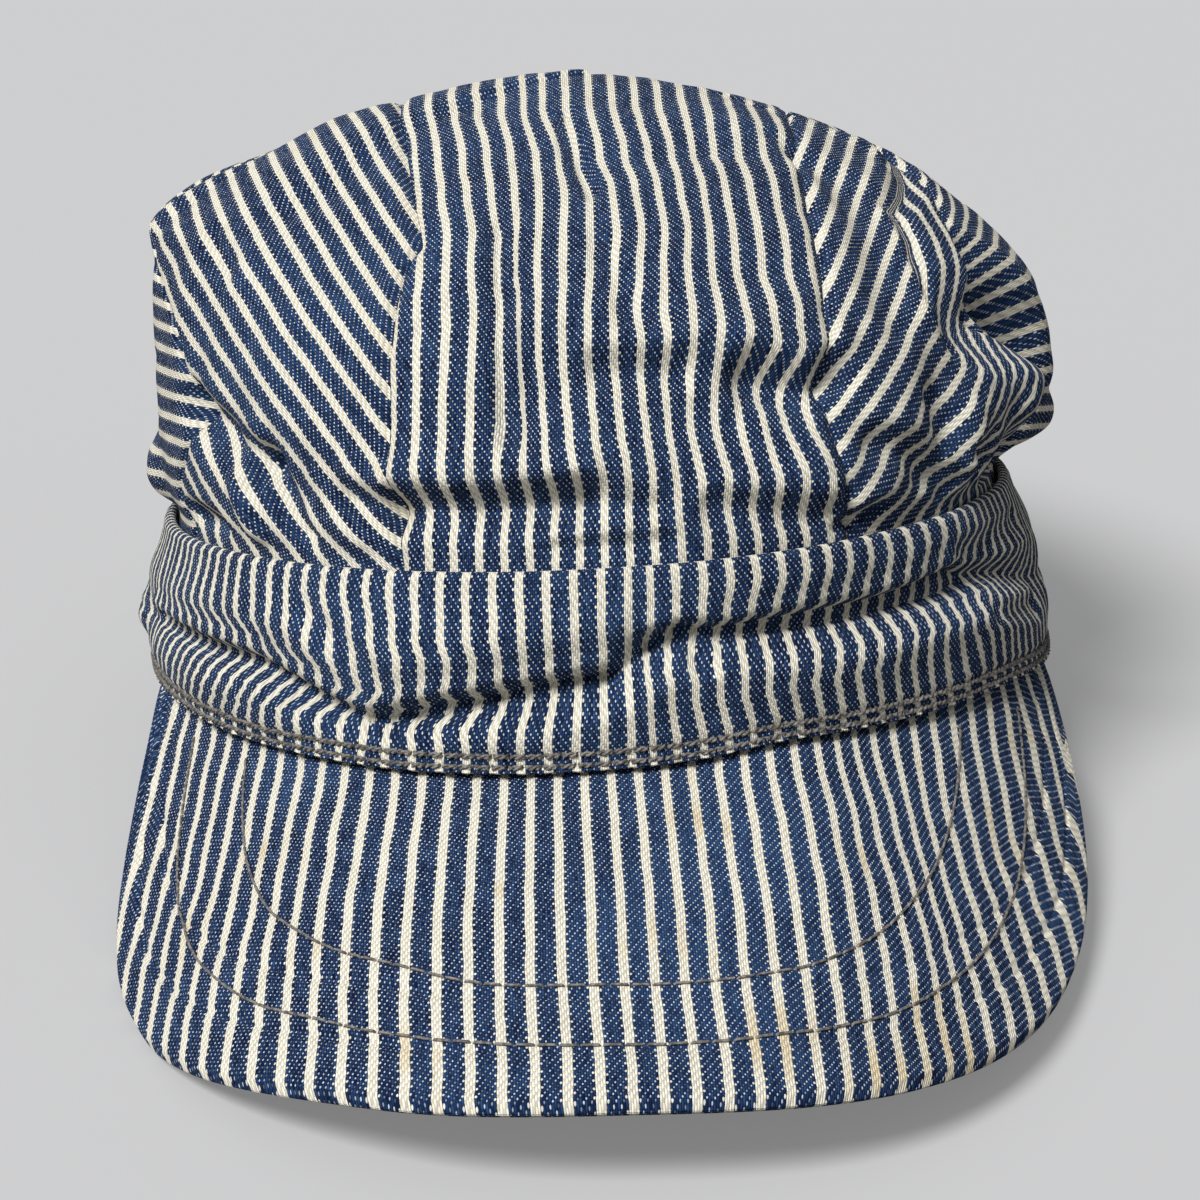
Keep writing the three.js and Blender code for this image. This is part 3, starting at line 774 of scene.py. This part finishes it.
def add_node(tree, kind, **values):
    node = tree.nodes.new(kind)
    for key, value in values.items():
        setattr(node, key, value)
    return node


def feed(tree, socket, value):
    if isinstance(value, bpy.types.NodeSocket):
        tree.links.new(value, socket)
    else:
        socket.default_value = value


def set_inputs(node, values):
    for key, value in values.items():
        node.inputs[key].default_value = value


def new_material(name, roughness):
    material = bpy.data.materials.new(name)
    material.use_nodes = True
    shader = material.node_tree.nodes["Principled BSDF"]
    set_inputs(shader, {"Roughness": roughness})
    return material, material.node_tree, shader


def calc(tree, operation, *values, clamp=False):
    node = add_node(tree, "ShaderNodeMath", operation=operation, use_clamp=clamp)
    for socket, value in zip(node.inputs, values):
        feed(tree, socket, value)
    return node.outputs[0]


def mixed(tree, share, first, second, blend="MIX"):
    node = add_node(tree, "ShaderNodeMix", data_type="RGBA", blend_type=blend)
    share_socket, first_socket, second_socket = (s for s in node.inputs if s.enabled)
    feed(tree, share_socket, share)
    feed(tree, first_socket, first)
    feed(tree, second_socket, second)
    return next(s for s in node.outputs if s.enabled)


def ramp(tree, value, low, high):
    """0 below low, 1 above high and smooth between."""
    node = add_node(tree, "ShaderNodeMapRange", interpolation_type="SMOOTHSTEP")
    feed(tree, node.inputs["Value"], value)
    set_inputs(node, {"From Min": low, "From Max": high})
    return node.outputs["Result"]


def noise(tree, spot, scale, detail=2.0, dimensions="3D"):
    node = add_node(tree, "ShaderNodeTexNoise", noise_dimensions=dimensions)
    feed(tree, node.inputs["Vector"], spot)
    set_inputs(node, {"Scale": scale, "Detail": detail})
    return node.outputs["Fac"]


def random_of(tree, spot):
    node = add_node(tree, "ShaderNodeTexWhiteNoise", noise_dimensions="2D")
    feed(tree, node.inputs["Vector"], spot)
    return node.outputs["Value"]


def joined(tree, x, y):
    node = add_node(tree, "ShaderNodeCombineXYZ")
    feed(tree, node.inputs[0], x)
    feed(tree, node.inputs[1], y)
    return node.outputs[0]


def new_group(name, inputs, outputs):
    group = bpy.data.node_groups.new(name, "ShaderNodeTree")
    for direction, sockets in (("INPUT", inputs), ("OUTPUT", outputs)):
        for socket, kind in sockets.items():
            group.interface.new_socket(socket, in_out=direction, socket_type=f"NodeSocket{kind}")
    return group, add_node(group, "NodeGroupInput").outputs, add_node(group, "NodeGroupOutput").inputs


# ---------------------------------------------------------------- the striped cotton

# The indigo's own dark blue, and the paler blue of its painted float highlights and of faded cloth
INDIGO_DARK = (0.0042, 0.0108, 0.040, 1)
INDIGO_LIGHT = (0.028, 0.076, 0.190, 1)
WEFT_IN_BLUE = (0.64, 0.71, 0.82, 1)
# The cream in the painted shade between its yarns, and the cream lit on them
CREAM_IN_SHADE = (0.40, 0.35, 0.25, 1)
CREAM_LIGHT = (0.95, 0.91, 0.78, 1)
STAIN = (0.78, 0.58, 0.26, 1)
THREAD_DARK = (0.10, 0.09, 0.08, 1)
THREAD_LIGHT = (0.27, 0.25, 0.225, 1)
DOT_WIDTH = 0.40
DOT_LENGTH = 0.42
WHITE_MIDDLE = 0.638
WHITE_HALF = 0.60


def ellipse(tree, across, width, along, middle, length):
    """How far out of an ellipse a place is: 0 in its middle, 1 on its edge."""
    x = calc(tree, "POWER", calc(tree, "DIVIDE", across, width), 2.0)
    y = calc(tree, "POWER", calc(tree, "DIVIDE", calc(tree, "SUBTRACT", along, middle), length), 2.0)
    return calc(tree, "ADD", x, y)


def striped_twill():
    """The weave. Each weft passes over every third warp, one warp further with each row."""
    group, given, result = new_group(
        "Striped twill",
        dict(Cloth="Vector", Fade="Float", Stain="Float"),
        dict(Color="Color", Height="Float"),
    )
    parts = add_node(group, "ShaderNodeSeparateXYZ")
    group.links.new(given["Cloth"], parts.inputs[0])
    warp = calc(group, "DIVIDE", parts.outputs[0], WARP_PITCH)
    weft = calc(group, "DIVIDE", parts.outputs[1], WEFT_PITCH)
    warp_number = calc(group, "FLOOR", warp)
    off_warp = calc(group, "SUBTRACT", calc(group, "SUBTRACT", warp, warp_number), 0.5)
    diagonal = calc(group, "DIVIDE", calc(group, "ADD", warp_number, weft), 3.0)
    repeat = calc(group, "FLOOR", diagonal)
    pick = calc(group, "MULTIPLY", calc(group, "SUBTRACT", diagonal, repeat), 3.0)
    shifted = calc(group, "SUBTRACT", parts.outputs[0], WHITE_MIDDLE - STRIPE_PITCH / 2)
    in_stripe = calc(group, "FLOORED_MODULO", shifted, STRIPE_PITCH)
    over_middle = calc(group, "ABSOLUTE", calc(group, "SUBTRACT", in_stripe, STRIPE_PITCH / 2))
    white = calc(group, "LESS_THAN", over_middle, WHITE_HALF)
    beside_white = calc(group, "LESS_THAN", over_middle, WHITE_HALF + 0.36)

    # A dot of white weft, and the float of the warp over the next two wefts
    width = calc(group, "MULTIPLY_ADD", beside_white, 0.16, DOT_WIDTH)
    length = calc(group, "MULTIPLY_ADD", beside_white, 0.12, DOT_LENGTH)
    dot = ramp(group, ellipse(group, off_warp, width, pick, 0.5, length), 1.1, 0.3)
    over = calc(group, "SUBTRACT", 1.0, ellipse(group, off_warp, 0.62, pick, 2.0, 1.35), clamp=True)
    chance = random_of(group, joined(group, warp_number, repeat))
    often = calc(group, "MULTIPLY", beside_white, 0.75)
    seen = calc(group, "MAXIMUM", calc(group, "MULTIPLY_ADD", chance, 0.9, 0.1), often)
    shows = calc(group, "MULTIPLY", dot, seen)

    # Each indigo yarn has its own depth of colour along its length, and its floats over the wefts carry a
    # painted highlight, stronger on paler stretches of yarn
    yarn_apart = calc(group, "MULTIPLY", warp_number, 1.7)
    yarn_along = calc(group, "DIVIDE", parts.outputs[1], 3.5)
    yarn = noise(group, joined(group, yarn_apart, yarn_along), 1.0, 3.0, "2D")
    float_highlight_and_dye = calc(group, "MULTIPLY", over, calc(group, "MULTIPLY_ADD", yarn, 2.8, -0.95, clamp=True))
    light = calc(group, "ADD", float_highlight_and_dye, given["Fade"], clamp=True)
    blue = mixed(group, light, INDIGO_DARK, INDIGO_LIGHT)
    blue = mixed(group, shows, blue, mixed(group, beside_white, WEFT_IN_BLUE, CREAM_LIGHT))
    # The cream is lit on its floats and takes a painted shade between them, darker where the yarn is
    # duller
    yarn_bright = calc(group, "MULTIPLY_ADD", yarn, 0.7, 0.1)
    bright = calc(group, "MULTIPLY_ADD", over, 0.7, yarn_bright, clamp=True)
    cream = mixed(group, bright, CREAM_IN_SHADE, CREAM_LIGHT)
    cream = mixed(group, given["Stain"], cream, STAIN, "MULTIPLY")
    feed(group, result["Color"], mixed(group, white, blue, cream))
    relief = calc(group, "MULTIPLY_ADD", dot, 0.6, over)
    feed(group, result["Height"], calc(group, "MULTIPLY_ADD", white, 0.25, relief))
    return group


twill = striped_twill()


def cotton(name, fade, stain):
    """Striped cotton, which follows the cloth's own coordinates."""
    material, tree, shader = new_material(name, 0.95)
    cloth = add_node(tree, "ShaderNodeUVMap", uv_map="cloth")
    spot = add_node(tree, "ShaderNodeTexCoord").outputs["Object"]
    parts = add_node(tree, "ShaderNodeSeparateXYZ")
    tree.links.new(cloth.outputs[0], parts.inputs[0])

    # The yarns wander a little, more over the width of a stripe than within it
    wide = calc(tree, "MULTIPLY_ADD", noise(tree, spot, 90.0), 0.5, -0.25)
    close = calc(tree, "MULTIPLY_ADD", noise(tree, spot, 500.0, 1.0), 0.26, -0.13)
    u = calc(tree, "ADD", parts.outputs[0], calc(tree, "ADD", wide, close))
    weave = add_node(tree, "ShaderNodeGroup", node_tree=twill)
    tree.links.new(joined(tree, u, parts.outputs[1]), weave.inputs["Cloth"])
    faded = calc(tree, "MULTIPLY", ramp(tree, noise(tree, spot, 32.0, 4.0), 0.42, 0.75), fade)
    tree.links.new(faded, weave.inputs["Fade"])
    stained = calc(tree, "MULTIPLY", ramp(tree, noise(tree, spot, 45.0, 3.0), 0.56, 0.72), stain)
    tree.links.new(stained, weave.inputs["Stain"])
    tree.links.new(weave.outputs["Color"], shader.inputs["Base Color"])
    relief = add_node(tree, "ShaderNodeBump")
    set_inputs(relief, {"Strength": 0.7, "Distance": 0.2 * MM})
    tree.links.new(weave.outputs["Height"], relief.inputs["Height"])
    tree.links.new(relief.outputs[0], shader.inputs["Normal"])
    set_inputs(shader, {"Specular IOR Level": 0.06, "Sheen Weight": 0.02, "Sheen Roughness": 0.5})
    return material


def thread_material(name, dark, light):
    """Dull sewing thread, lighter in places."""
    material, tree, shader = new_material(name, 0.7)
    spot = add_node(tree, "ShaderNodeTexCoord").outputs["Object"]
    uneven = noise(tree, spot, 1500.0, 2.0)
    tree.links.new(mixed(tree, ramp(tree, uneven, 0.35, 0.65), dark, light), shader.inputs["Base Color"])
    return material


crown_cloth = cotton("Crown cotton", fade=0.25, stain=0.1)
band_cloth = cotton("Band cotton", fade=0.2, stain=0.1)
visor_cloth = cotton("Visor cotton", fade=0.35, stain=0.5)
taupe_thread = thread_material("Taupe thread", THREAD_DARK, THREAD_LIGHT)


# ---------------------------------------------------------------- the crown


def crown_piece(name, base, cloth):
    """A crown panel with its folds, turned edges and wall."""
    away = outwards(base)
    width = run_lengths(base, 1)
    moved = crown_folds(base) + (seam_sink(width) + seam_sink(width[:, -1:] - width))
    piece = sheet_of_cloth(name, settled(base + away * moved[..., None]), cloth)
    thicken(piece, WALL, settled(base + away) - settled(base))
    finish_piece(piece, name, crown_cloth)


def make_center_strip():
    columns, rows = 80, 380
    lines = [strip_line(share, rows + 1) for share in np.linspace(0, 1, columns + 1)]
    base = np.stack([points for points, _ in lines], 1)
    rise = np.stack([rises for _, rises in lines], 1)
    x = base[..., 0]
    # Behind the top the stripes run straight again
    drawn = drawn_sideways(STRIP_DRAWN, "rise", STRIP_PLACES, x, np.clip(rise, 0, 1))
    drawn = drawn * (1 - smooth(1.05, 1.5, rise))
    along = run_lengths(base, 0)
    u = x - drawn - FIRST_STRIPE["strip"]
    # A small tuck swallows half of one white stripe
    past = u - WHITE_MIDDLE - TUCKED_STRIPE * STRIPE_PITCH
    here = smooth(0.20, 0.30, rise) * (1 - smooth(0.60, 0.70, rise))
    u = u + here * TUCK / 2 * np.tanh(past / 0.4) * np.exp(-np.abs(past) / 4)
    crown_piece("crown_center_strip", base, np.stack([u, along], -1))


def unwrapped(base, folded):
    """Flat cloth coordinates of a panel, with a share of its folds."""
    points = base + outwards(base) * folded * crown_folds(base)[..., None]
    piece = sheet_of_cloth("flat", settled(points), None)
    only(piece)
    bpy.ops.object.mode_set(mode="EDIT")
    bpy.ops.mesh.select_all(action="SELECT")
    bpy.ops.uv.unwrap(method="ANGLE_BASED", margin=0)
    bpy.ops.object.mode_set(mode="OBJECT")
    cloth = get_cloth(piece.data).reshape(*base.shape[:2], 2)
    bpy.data.objects.remove(piece)
    return cloth


def seen_from(points, front):
    """Points as two lengths, to the right and up, seen from the camera's height or from the side."""
    if not front:
        return points[..., 1:]
    rise = math.radians(CAMERA_RISE)
    up = points[..., 2] * math.cos(rise) - points[..., 1] * math.sin(rise)
    return np.stack([points[..., 0], up], -1)


def turned_flat(flat, angle):
    """Flat places turned to the left about zero."""
    c, s = np.cos(angle), np.sin(angle)
    return np.stack([flat[..., 0] * c - flat[..., 1] * s, flat[..., 0] * s + flat[..., 1] * c], -1)


def panel_cloth(panel, base):
    """Cloth coordinates in millimetres, turned so that the stripes lean as the panel's row says."""
    cloth = unwrapped(base, FRONT_FOLDED if panel["front"] else 0.0)
    length = sum(run_lengths(base, axis).max() for axis in (0, 1))
    cloth *= length / sum(run_lengths(cloth, axis).max() for axis in (0, 1))
    row = int(panel["row"] * (base.shape[0] - 1))
    column = int(panel["column"] * (base.shape[1] - 1))

    def steps(grid):
        upwards = grid[row + LEAN_STEPS, column] - grid[row - LEAN_STEPS, column]
        sideways = grid[row, column + LEAN_STEPS] - grid[row, column - LEAN_STEPS]
        return np.stack([upwards, sideways])

    real, flat = steps(base), steps(cloth)
    outside = outwards(base[row, column])
    facing = np.cross(real[1], real[0]) @ outside * (flat[1][0] * flat[0][1] - flat[1][1] * flat[0][0])
    if facing < 0:
        cloth[..., 0] *= -1
        flat[:, 0] *= -1
    lean = math.radians(panel["lean"])
    share = np.linalg.solve(seen_from(real, panel["front"]).T, [math.sin(lean), math.cos(lean)])
    way = share @ flat
    return turned_flat(cloth - cloth[row, column], math.atan2(way[0], way[1]))


def turn_wedge(cloth, base):
    """The cloth behind the pleat is turned about the pleat's tip."""
    places = rolled_out(*on_crown(base))
    turns, rises = np.array(PLEAT, float).T
    path = rolled_out(turns, BAND_HEIGHT + rises * CROWN_RISE)
    spot = path[-1]
    away = np.linalg.norm(places - spot, axis=-1)
    row, column = np.unravel_index(away.argmin(), away.shape)
    # The left of the pleat's line, followed downwards, is behind it
    side = gaps_to_path(places, path)[1]
    below = np.degrees(np.arctan2(spot[1] - places[..., 1], places[..., 0] - spot[0]))
    behind = smooth(-0.5, 0.5, side) * smooth(85, 5, below)
    tip_cloth = cloth[row, column]
    return tip_cloth + turned_flat(cloth - tip_cloth, math.radians(PLEAT_TURN) * behind)


def make_side_panels():
    for panel in PANELS:
        base = panel_points(panel["side"], panel["front"], panel["columns"], PANEL_ROWS)
        cloth = panel_cloth(panel, base)
        if panel["name"] == "crown_right_front_panel":
            cloth = turn_wedge(cloth, base)
            # The slumped cloth is gathered low behind the pleat
            turn, z = on_crown(base)
            rise = (z - BAND_HEIGHT) / CROWN_RISE
            low = smooth(-0.05, 0.08, rise) * (1 - smooth(0.38, 0.62, rise))
            rightwards = np.sign(cloth[40, -1, 0] - cloth[40, 0, 0])
            cloth[..., 0] += rightwards * GATHERED * smooth(45, 72, turn) * low
        if panel["name"] == "crown_right_back_panel":
            # The stripes fan out from the side seam, more towards the top
            width = run_lengths(base, 1)
            reach = FAN_REACH * (1 - np.exp((width - width[:, -1:]) / FAN_REACH))
            upwards = np.sign(cloth[-20, :, 0].mean() - cloth[0, :, 0].mean())
            rise = (base[..., 2] - BAND_HEIGHT) / CROWN_RISE
            cloth[..., 0] -= upwards * FAN_SLOPE * smooth(0.30, 0.85, rise) * reach
        crown_piece(panel["name"], base, cloth)


# ---------------------------------------------------------------- the band


def band_profile():
    """Once round the band's wall: heights as shares, insets and lengths along the cloth."""
    half = BAND_CLOTH / 2
    low, high = half / BAND_HEIGHT, 1 - half / BAND_HEIGHT
    outer = np.linspace(low, high, 40)
    over = np.radians(np.linspace(0, 180, 9)[1:-1])
    inner = np.linspace(high, low, 10)
    share = np.concatenate([outer, high + low * np.sin(over), inner, low - low * np.sin(over), [low]])
    turning = half * np.cos(over)
    inset = np.concatenate([0 * outer, half - turning, 2 * half + 0 * inner, half + turning, [0]])
    length = np.concatenate([[0], np.cumsum(np.hypot(np.diff(share) * BAND_HEIGHT, np.diff(inset)))])
    return share, inset, length + low * BAND_HEIGHT


band_turns = np.linspace(-180, 180, 641)
band_around = run_lengths(band_point(band_turns, 0.5 + 0 * band_turns)[None], 1)[0]
band_around -= np.interp(0, band_turns, band_around)


def hem_pucker(turn, share):
    """The hem's roll swells between the stitches and sinks along their rows."""
    around = np.interp(turn, band_turns, band_around)
    height = share * BAND_HEIGHT
    sink = sum(bump(np.abs(height - row) / 0.9) for row in HEM_ROWS)
    roll = bump(np.abs(height - 0.2) / 1.2) * (0.35 + 0.25 * np.sin(2 * math.pi * around / STITCH))
    return roll - 0.45 * sink


def band_out(turn, share):
    """How far the band's small folds, hem and unevenness move its cloth."""
    folds = fold_heights(turn, share * BAND_HEIGHT, BAND_FOLDS, 0.0, BAND_HEIGHT)
    uneven = unevenness(band_point(turn, share), BAND_UNEVEN)
    free = smooth(0, 0.15, share) * (1 - 0.4 * smooth(0.85, 1, share))
    return (folds + uneven) * free + hem_pucker(turn, share)


def make_band():
    share, inset, length = band_profile()
    turn = band_turns[None, :] + 0 * share[:, None]
    share = share[:, None] + 0 * turn
    outer = inset[:, None] < BAND_CLOTH
    out = np.where(outer, band_out(turn, share), 0)
    base = band_point(turn, share, inset[:, None], out)
    around = band_around[None, :] + 0 * share
    drawn = drawn_sideways(BAND_DRAWN, "share", BAND_PLACES, around, share)
    drawn = drawn * (1 - smooth(75, 140, np.abs(around)))
    cloth = np.stack([around - drawn - FIRST_STRIPE["band"], length[:, None] + 0 * turn], -1)
    piece = sheet_of_cloth("band", settled(base), cloth)
    close_sheet(piece, BAND_MERGE)
    finish_piece(piece, "band", band_cloth)
    return piece


# ---------------------------------------------------------------- the visor


def visor_arc(x):
    """Length along the bent sheet from its middle to x."""
    xs = np.linspace(0, visor_half_width + 2 * VISOR_BULGE, 400)
    bend = VISOR_CURVE * visor_arch * (xs / visor_half_width) ** (VISOR_CURVE - 1) / visor_half_width
    arc = np.concatenate([[0], np.cumsum(np.hypot(1, (bend[1:] + bend[:-1]) / 2) * np.diff(xs))])
    return np.sign(x) * np.interp(np.abs(x), xs, arc)


def make_visor():
    columns, rows = 220, 84
    across = np.linspace(-1, 1, columns + 1)[None, :] + np.zeros((rows + 1, 1))
    out = np.linspace(0, 1, rows + 1)[:, None] + 0 * across
    base = visor_point(across, out)
    under = tipped(below_visor(base, VISOR_THICKNESS + 0 * out))[..., 2]
    lift = np.maximum(-under, 0)
    u = visor_arc(base[..., 0])
    drawn = drawn_sideways(VISOR_DRAWN, "out", VISOR_PLACES, u, out)
    v = base[..., 1] / math.cos(math.radians(VISOR_SLOPE))
    cloth = np.stack([(u - drawn) / VISOR_STRETCH - FIRST_STRIPE["visor"], v], -1)
    from_edge = run_lengths(base, 0)
    from_edge = from_edge[-1:] - from_edge
    near_edge = np.clip(1 - from_edge / VISOR_ROLL_WIDTH, 0, 1)
    roll = VISOR_ROLL * (1 - np.sqrt(1 - near_edge**2))
    sunk = sum(0.4 * bump(np.abs(from_edge - row) / 1.2) for row in VISOR_ROWS)
    uneven = unevenness(base, VISOR_UNEVEN) * smooth(0, 4, from_edge)
    top = None
    for name, depth, sign in (("visor_top", 0.0, 1), ("visor_under", VISOR_THICKNESS, -1)):
        relief = sunk - uneven if sign > 0 else 0.0
        points = below_visor(base, depth + sign * roll + relief)
        piece = sheet_of_cloth(name, settled(points, lift), cloth)
        thicken(piece, VISOR_WALL, settled(base + sign * visor_normal(base)) - settled(base))
        finish_piece(piece, name, visor_cloth)
        top = top or piece
    return top


# ---------------------------------------------------------------- stitches


def laid_on(piece, points, way):
    """The places and normals where lines from points along their ways meet a piece."""
    spots, normals = [], []
    for point, direction in zip(points, way):
        hit, spot, normal, _ = piece.ray_cast(Vector(point * MM), Vector(direction))
        if hit:
            spots.append(np.array(spot) / MM)
            normals.append(np.array(normal))
    return np.array(spots), np.array(normals)


def resampled(points, places, at):
    return np.stack([np.interp(at, places, points[:, i]) for i in range(3)], -1)


def even_steps(points, step):
    """The same path with points at even steps."""
    length = run_lengths(points, 0)
    return resampled(points, length, np.arange(0, length[-1], step))


def thread(name, piece, path, way, radius, twist=0.0, side=0.0):
    """A row of stitches: one thread that rises over the cloth and dips into it at every stitch end."""
    path = even_steps(path, STITCH / THREAD_STEPS)
    way = resampled(way, np.linspace(0, 1, len(way)), np.linspace(0, 1, len(path)))
    spots, normals = laid_on(piece, path, unit(way))
    at = np.arange(len(spots)) * STITCH / THREAD_STEPS
    beside = unit(np.cross(unit(np.gradient(spots, axis=0)), normals))
    in_stitch = (at / STITCH) % 1
    height = radius * (1.2 - 2.8 * bump(np.minimum(in_stitch, 1 - in_stitch) / 0.13))
    turn = 2 * math.pi * at / (STITCH * 0.9)
    lie = spots + normals * (height + twist * radius * np.sin(turn + side))[:, None]
    lie = lie + beside * (twist * 1.2 * radius * np.cos(turn + side))[:, None]
    around = np.linspace(0, 2 * math.pi, THREAD_SIDES + 1)[:, None]
    ring = np.cos(around) * normals[:, None] + np.sin(around) * beside[:, None]
    deselect_all()
    bpy.ops.mesh.primitive_grid_add(x_subdivisions=THREAD_SIDES, y_subdivisions=len(lie) - 1, size=1)
    cord = bpy.context.object
    cord.name = name
    place(cord, lie[:, None] + radius * ring)
    close_sheet(cord, THREAD_MERGE, open_ends=True)
    finish_piece(cord, None, taupe_thread)


def make_hem_stitches(piece):
    turn = np.linspace(-179, 179, 1400)
    for number, height in enumerate(HEM_ROWS):
        share = height / BAND_HEIGHT + 0 * turn
        outside = settled(band_point(turn, share, -HEM_REACH))
        inside = settled(band_point(turn, share, HEM_REACH))
        for side in (0, math.pi):
            name = f"hem_stitches_{number + 1}_{'ab'[side > 0]}"
            thread(name, piece, outside, inside - outside, HEM_THREAD, 0.8, side)


def visor_row(inset):
    """A line on the visor at one distance from its edge, as far as the band on both sides."""
    x, f = visor_edge(np.linspace(-1, 1, 1201))
    run_x, run_f = np.gradient(x), np.gradient(f)
    length = np.hypot(run_x, run_f)
    x, f = x + inset * run_f / length, f - inset * run_x / length
    root = band_point(np.degrees(np.arctan2(x / RIM_HALF_WIDTH, f / RIM_FRONT)), 0 * x)
    clear = np.hypot(x, f) > np.hypot(root[:, 0], root[:, 1]) + 0.5
    return x[clear], f[clear]


def make_visor_stitches(piece):
    for number, inset in enumerate(VISOR_ROWS):
        name = f"visor_stitches_{number + 1}"
        x, f = visor_row(inset)
        above = np.stack([x, f, visor_sheet(x, f) + VISOR_REACH], -1)
        way = tipped(above - [0, 0, 2 * VISOR_REACH]) - tipped(above)
        thread(name, piece, tipped(above) + SHIFT, way, VISOR_THREAD)


# ---------------------------------------------------------------- camera, floor and lights


FLOOR_SEEN = (0.38, 0.38, 0.385, 1)
FLOOR_UNSEEN = (0.18, 0.18, 0.18, 1)
FLOOR_GLOW = 0.20
LIGHT_SPREAD = 24
LIGHT_STRENGTH = 3.3
SKY_COLOR = (0.95, 0.97, 1.0, 1)
SKY_STRENGTH = 0.26


def turned(direction):
    """A direction of the cap's own frame in the scene's frame."""
    return tipped(np.asarray(direction, float)) - tipped(np.zeros(3))


def make_camera():
    rise, side, roll = (math.radians(a) for a in (CAMERA_RISE, CAMERA_SIDE, CAMERA_ROLL))
    level = np.array([math.cos(side), math.sin(side), 0])
    ahead = np.array([-math.sin(side), math.cos(side), 0])
    back = ahead * math.cos(rise) + np.array([0, 0, math.sin(rise)])
    up = -ahead * math.sin(rise) + np.array([0, 0, math.cos(rise)])
    spot = tipped(CAMERA_AWAY * back + CAMERA_LIFT * up) + SHIFT
    bpy.ops.object.camera_add()
    camera = bpy.context.object
    camera.data.lens = FOCAL_PIXELS / FRAME_PIXELS * SENSOR
    camera.data.sensor_width = SENSOR
    camera.data.clip_start = 0.01
    matrix = np.eye(4)
    matrix[:3, 0] = turned(level * math.cos(roll) - up * math.sin(roll))
    matrix[:3, 1] = turned(level * math.sin(roll) + up * math.cos(roll))
    matrix[:3, 2] = turned(back)
    matrix[:3, 3] = spot * MM
    camera.matrix_world = Matrix(matrix.tolist())
    bpy.context.scene.camera = camera


def make_stage():
    deselect_all()
    bpy.ops.mesh.primitive_plane_add(size=60)
    floor = bpy.context.object
    floor.name = "floor"
    material, tree, shader = new_material("Floor", 0.9)
    # Pale to the eye, but it throws little light up under the folds
    looked_at = add_node(tree, "ShaderNodeLightPath").outputs["Is Camera Ray"]
    tree.links.new(mixed(tree, looked_at, FLOOR_UNSEEN, FLOOR_SEEN), shader.inputs["Base Color"])
    set_inputs(shader, {"Emission Color": (1, 1, 1, 1)})
    tree.links.new(calc(tree, "MULTIPLY", looked_at, FLOOR_GLOW), shader.inputs["Emission Strength"])
    floor.data.materials.append(material)


def far_light(name, direction, spread, strength):
    """A soft light from far away, which lights the whole floor evenly."""
    bpy.ops.object.light_add(type="SUN", location=direction)
    light = bpy.context.object
    light.name = name
    light.data.angle = math.radians(spread)
    light.data.energy = strength
    light.rotation_euler = Vector(direction).to_track_quat("Z", "Y").to_euler()


def make_lights():
    far_light("Upper left", (-0.43, -0.44, 0.80), LIGHT_SPREAD, LIGHT_STRENGTH)
    world = bpy.data.worlds.new("Studio")
    world.use_nodes = True
    set_inputs(world.node_tree.nodes["Background"], {"Color": SKY_COLOR, "Strength": SKY_STRENGTH})
    bpy.context.scene.world = world
    bpy.context.scene.view_settings.view_transform = "Standard"


make_camera()
make_stage()
make_lights()
make_center_strip()
make_side_panels()
make_hem_stitches(make_band())
make_visor_stitches(make_visor())
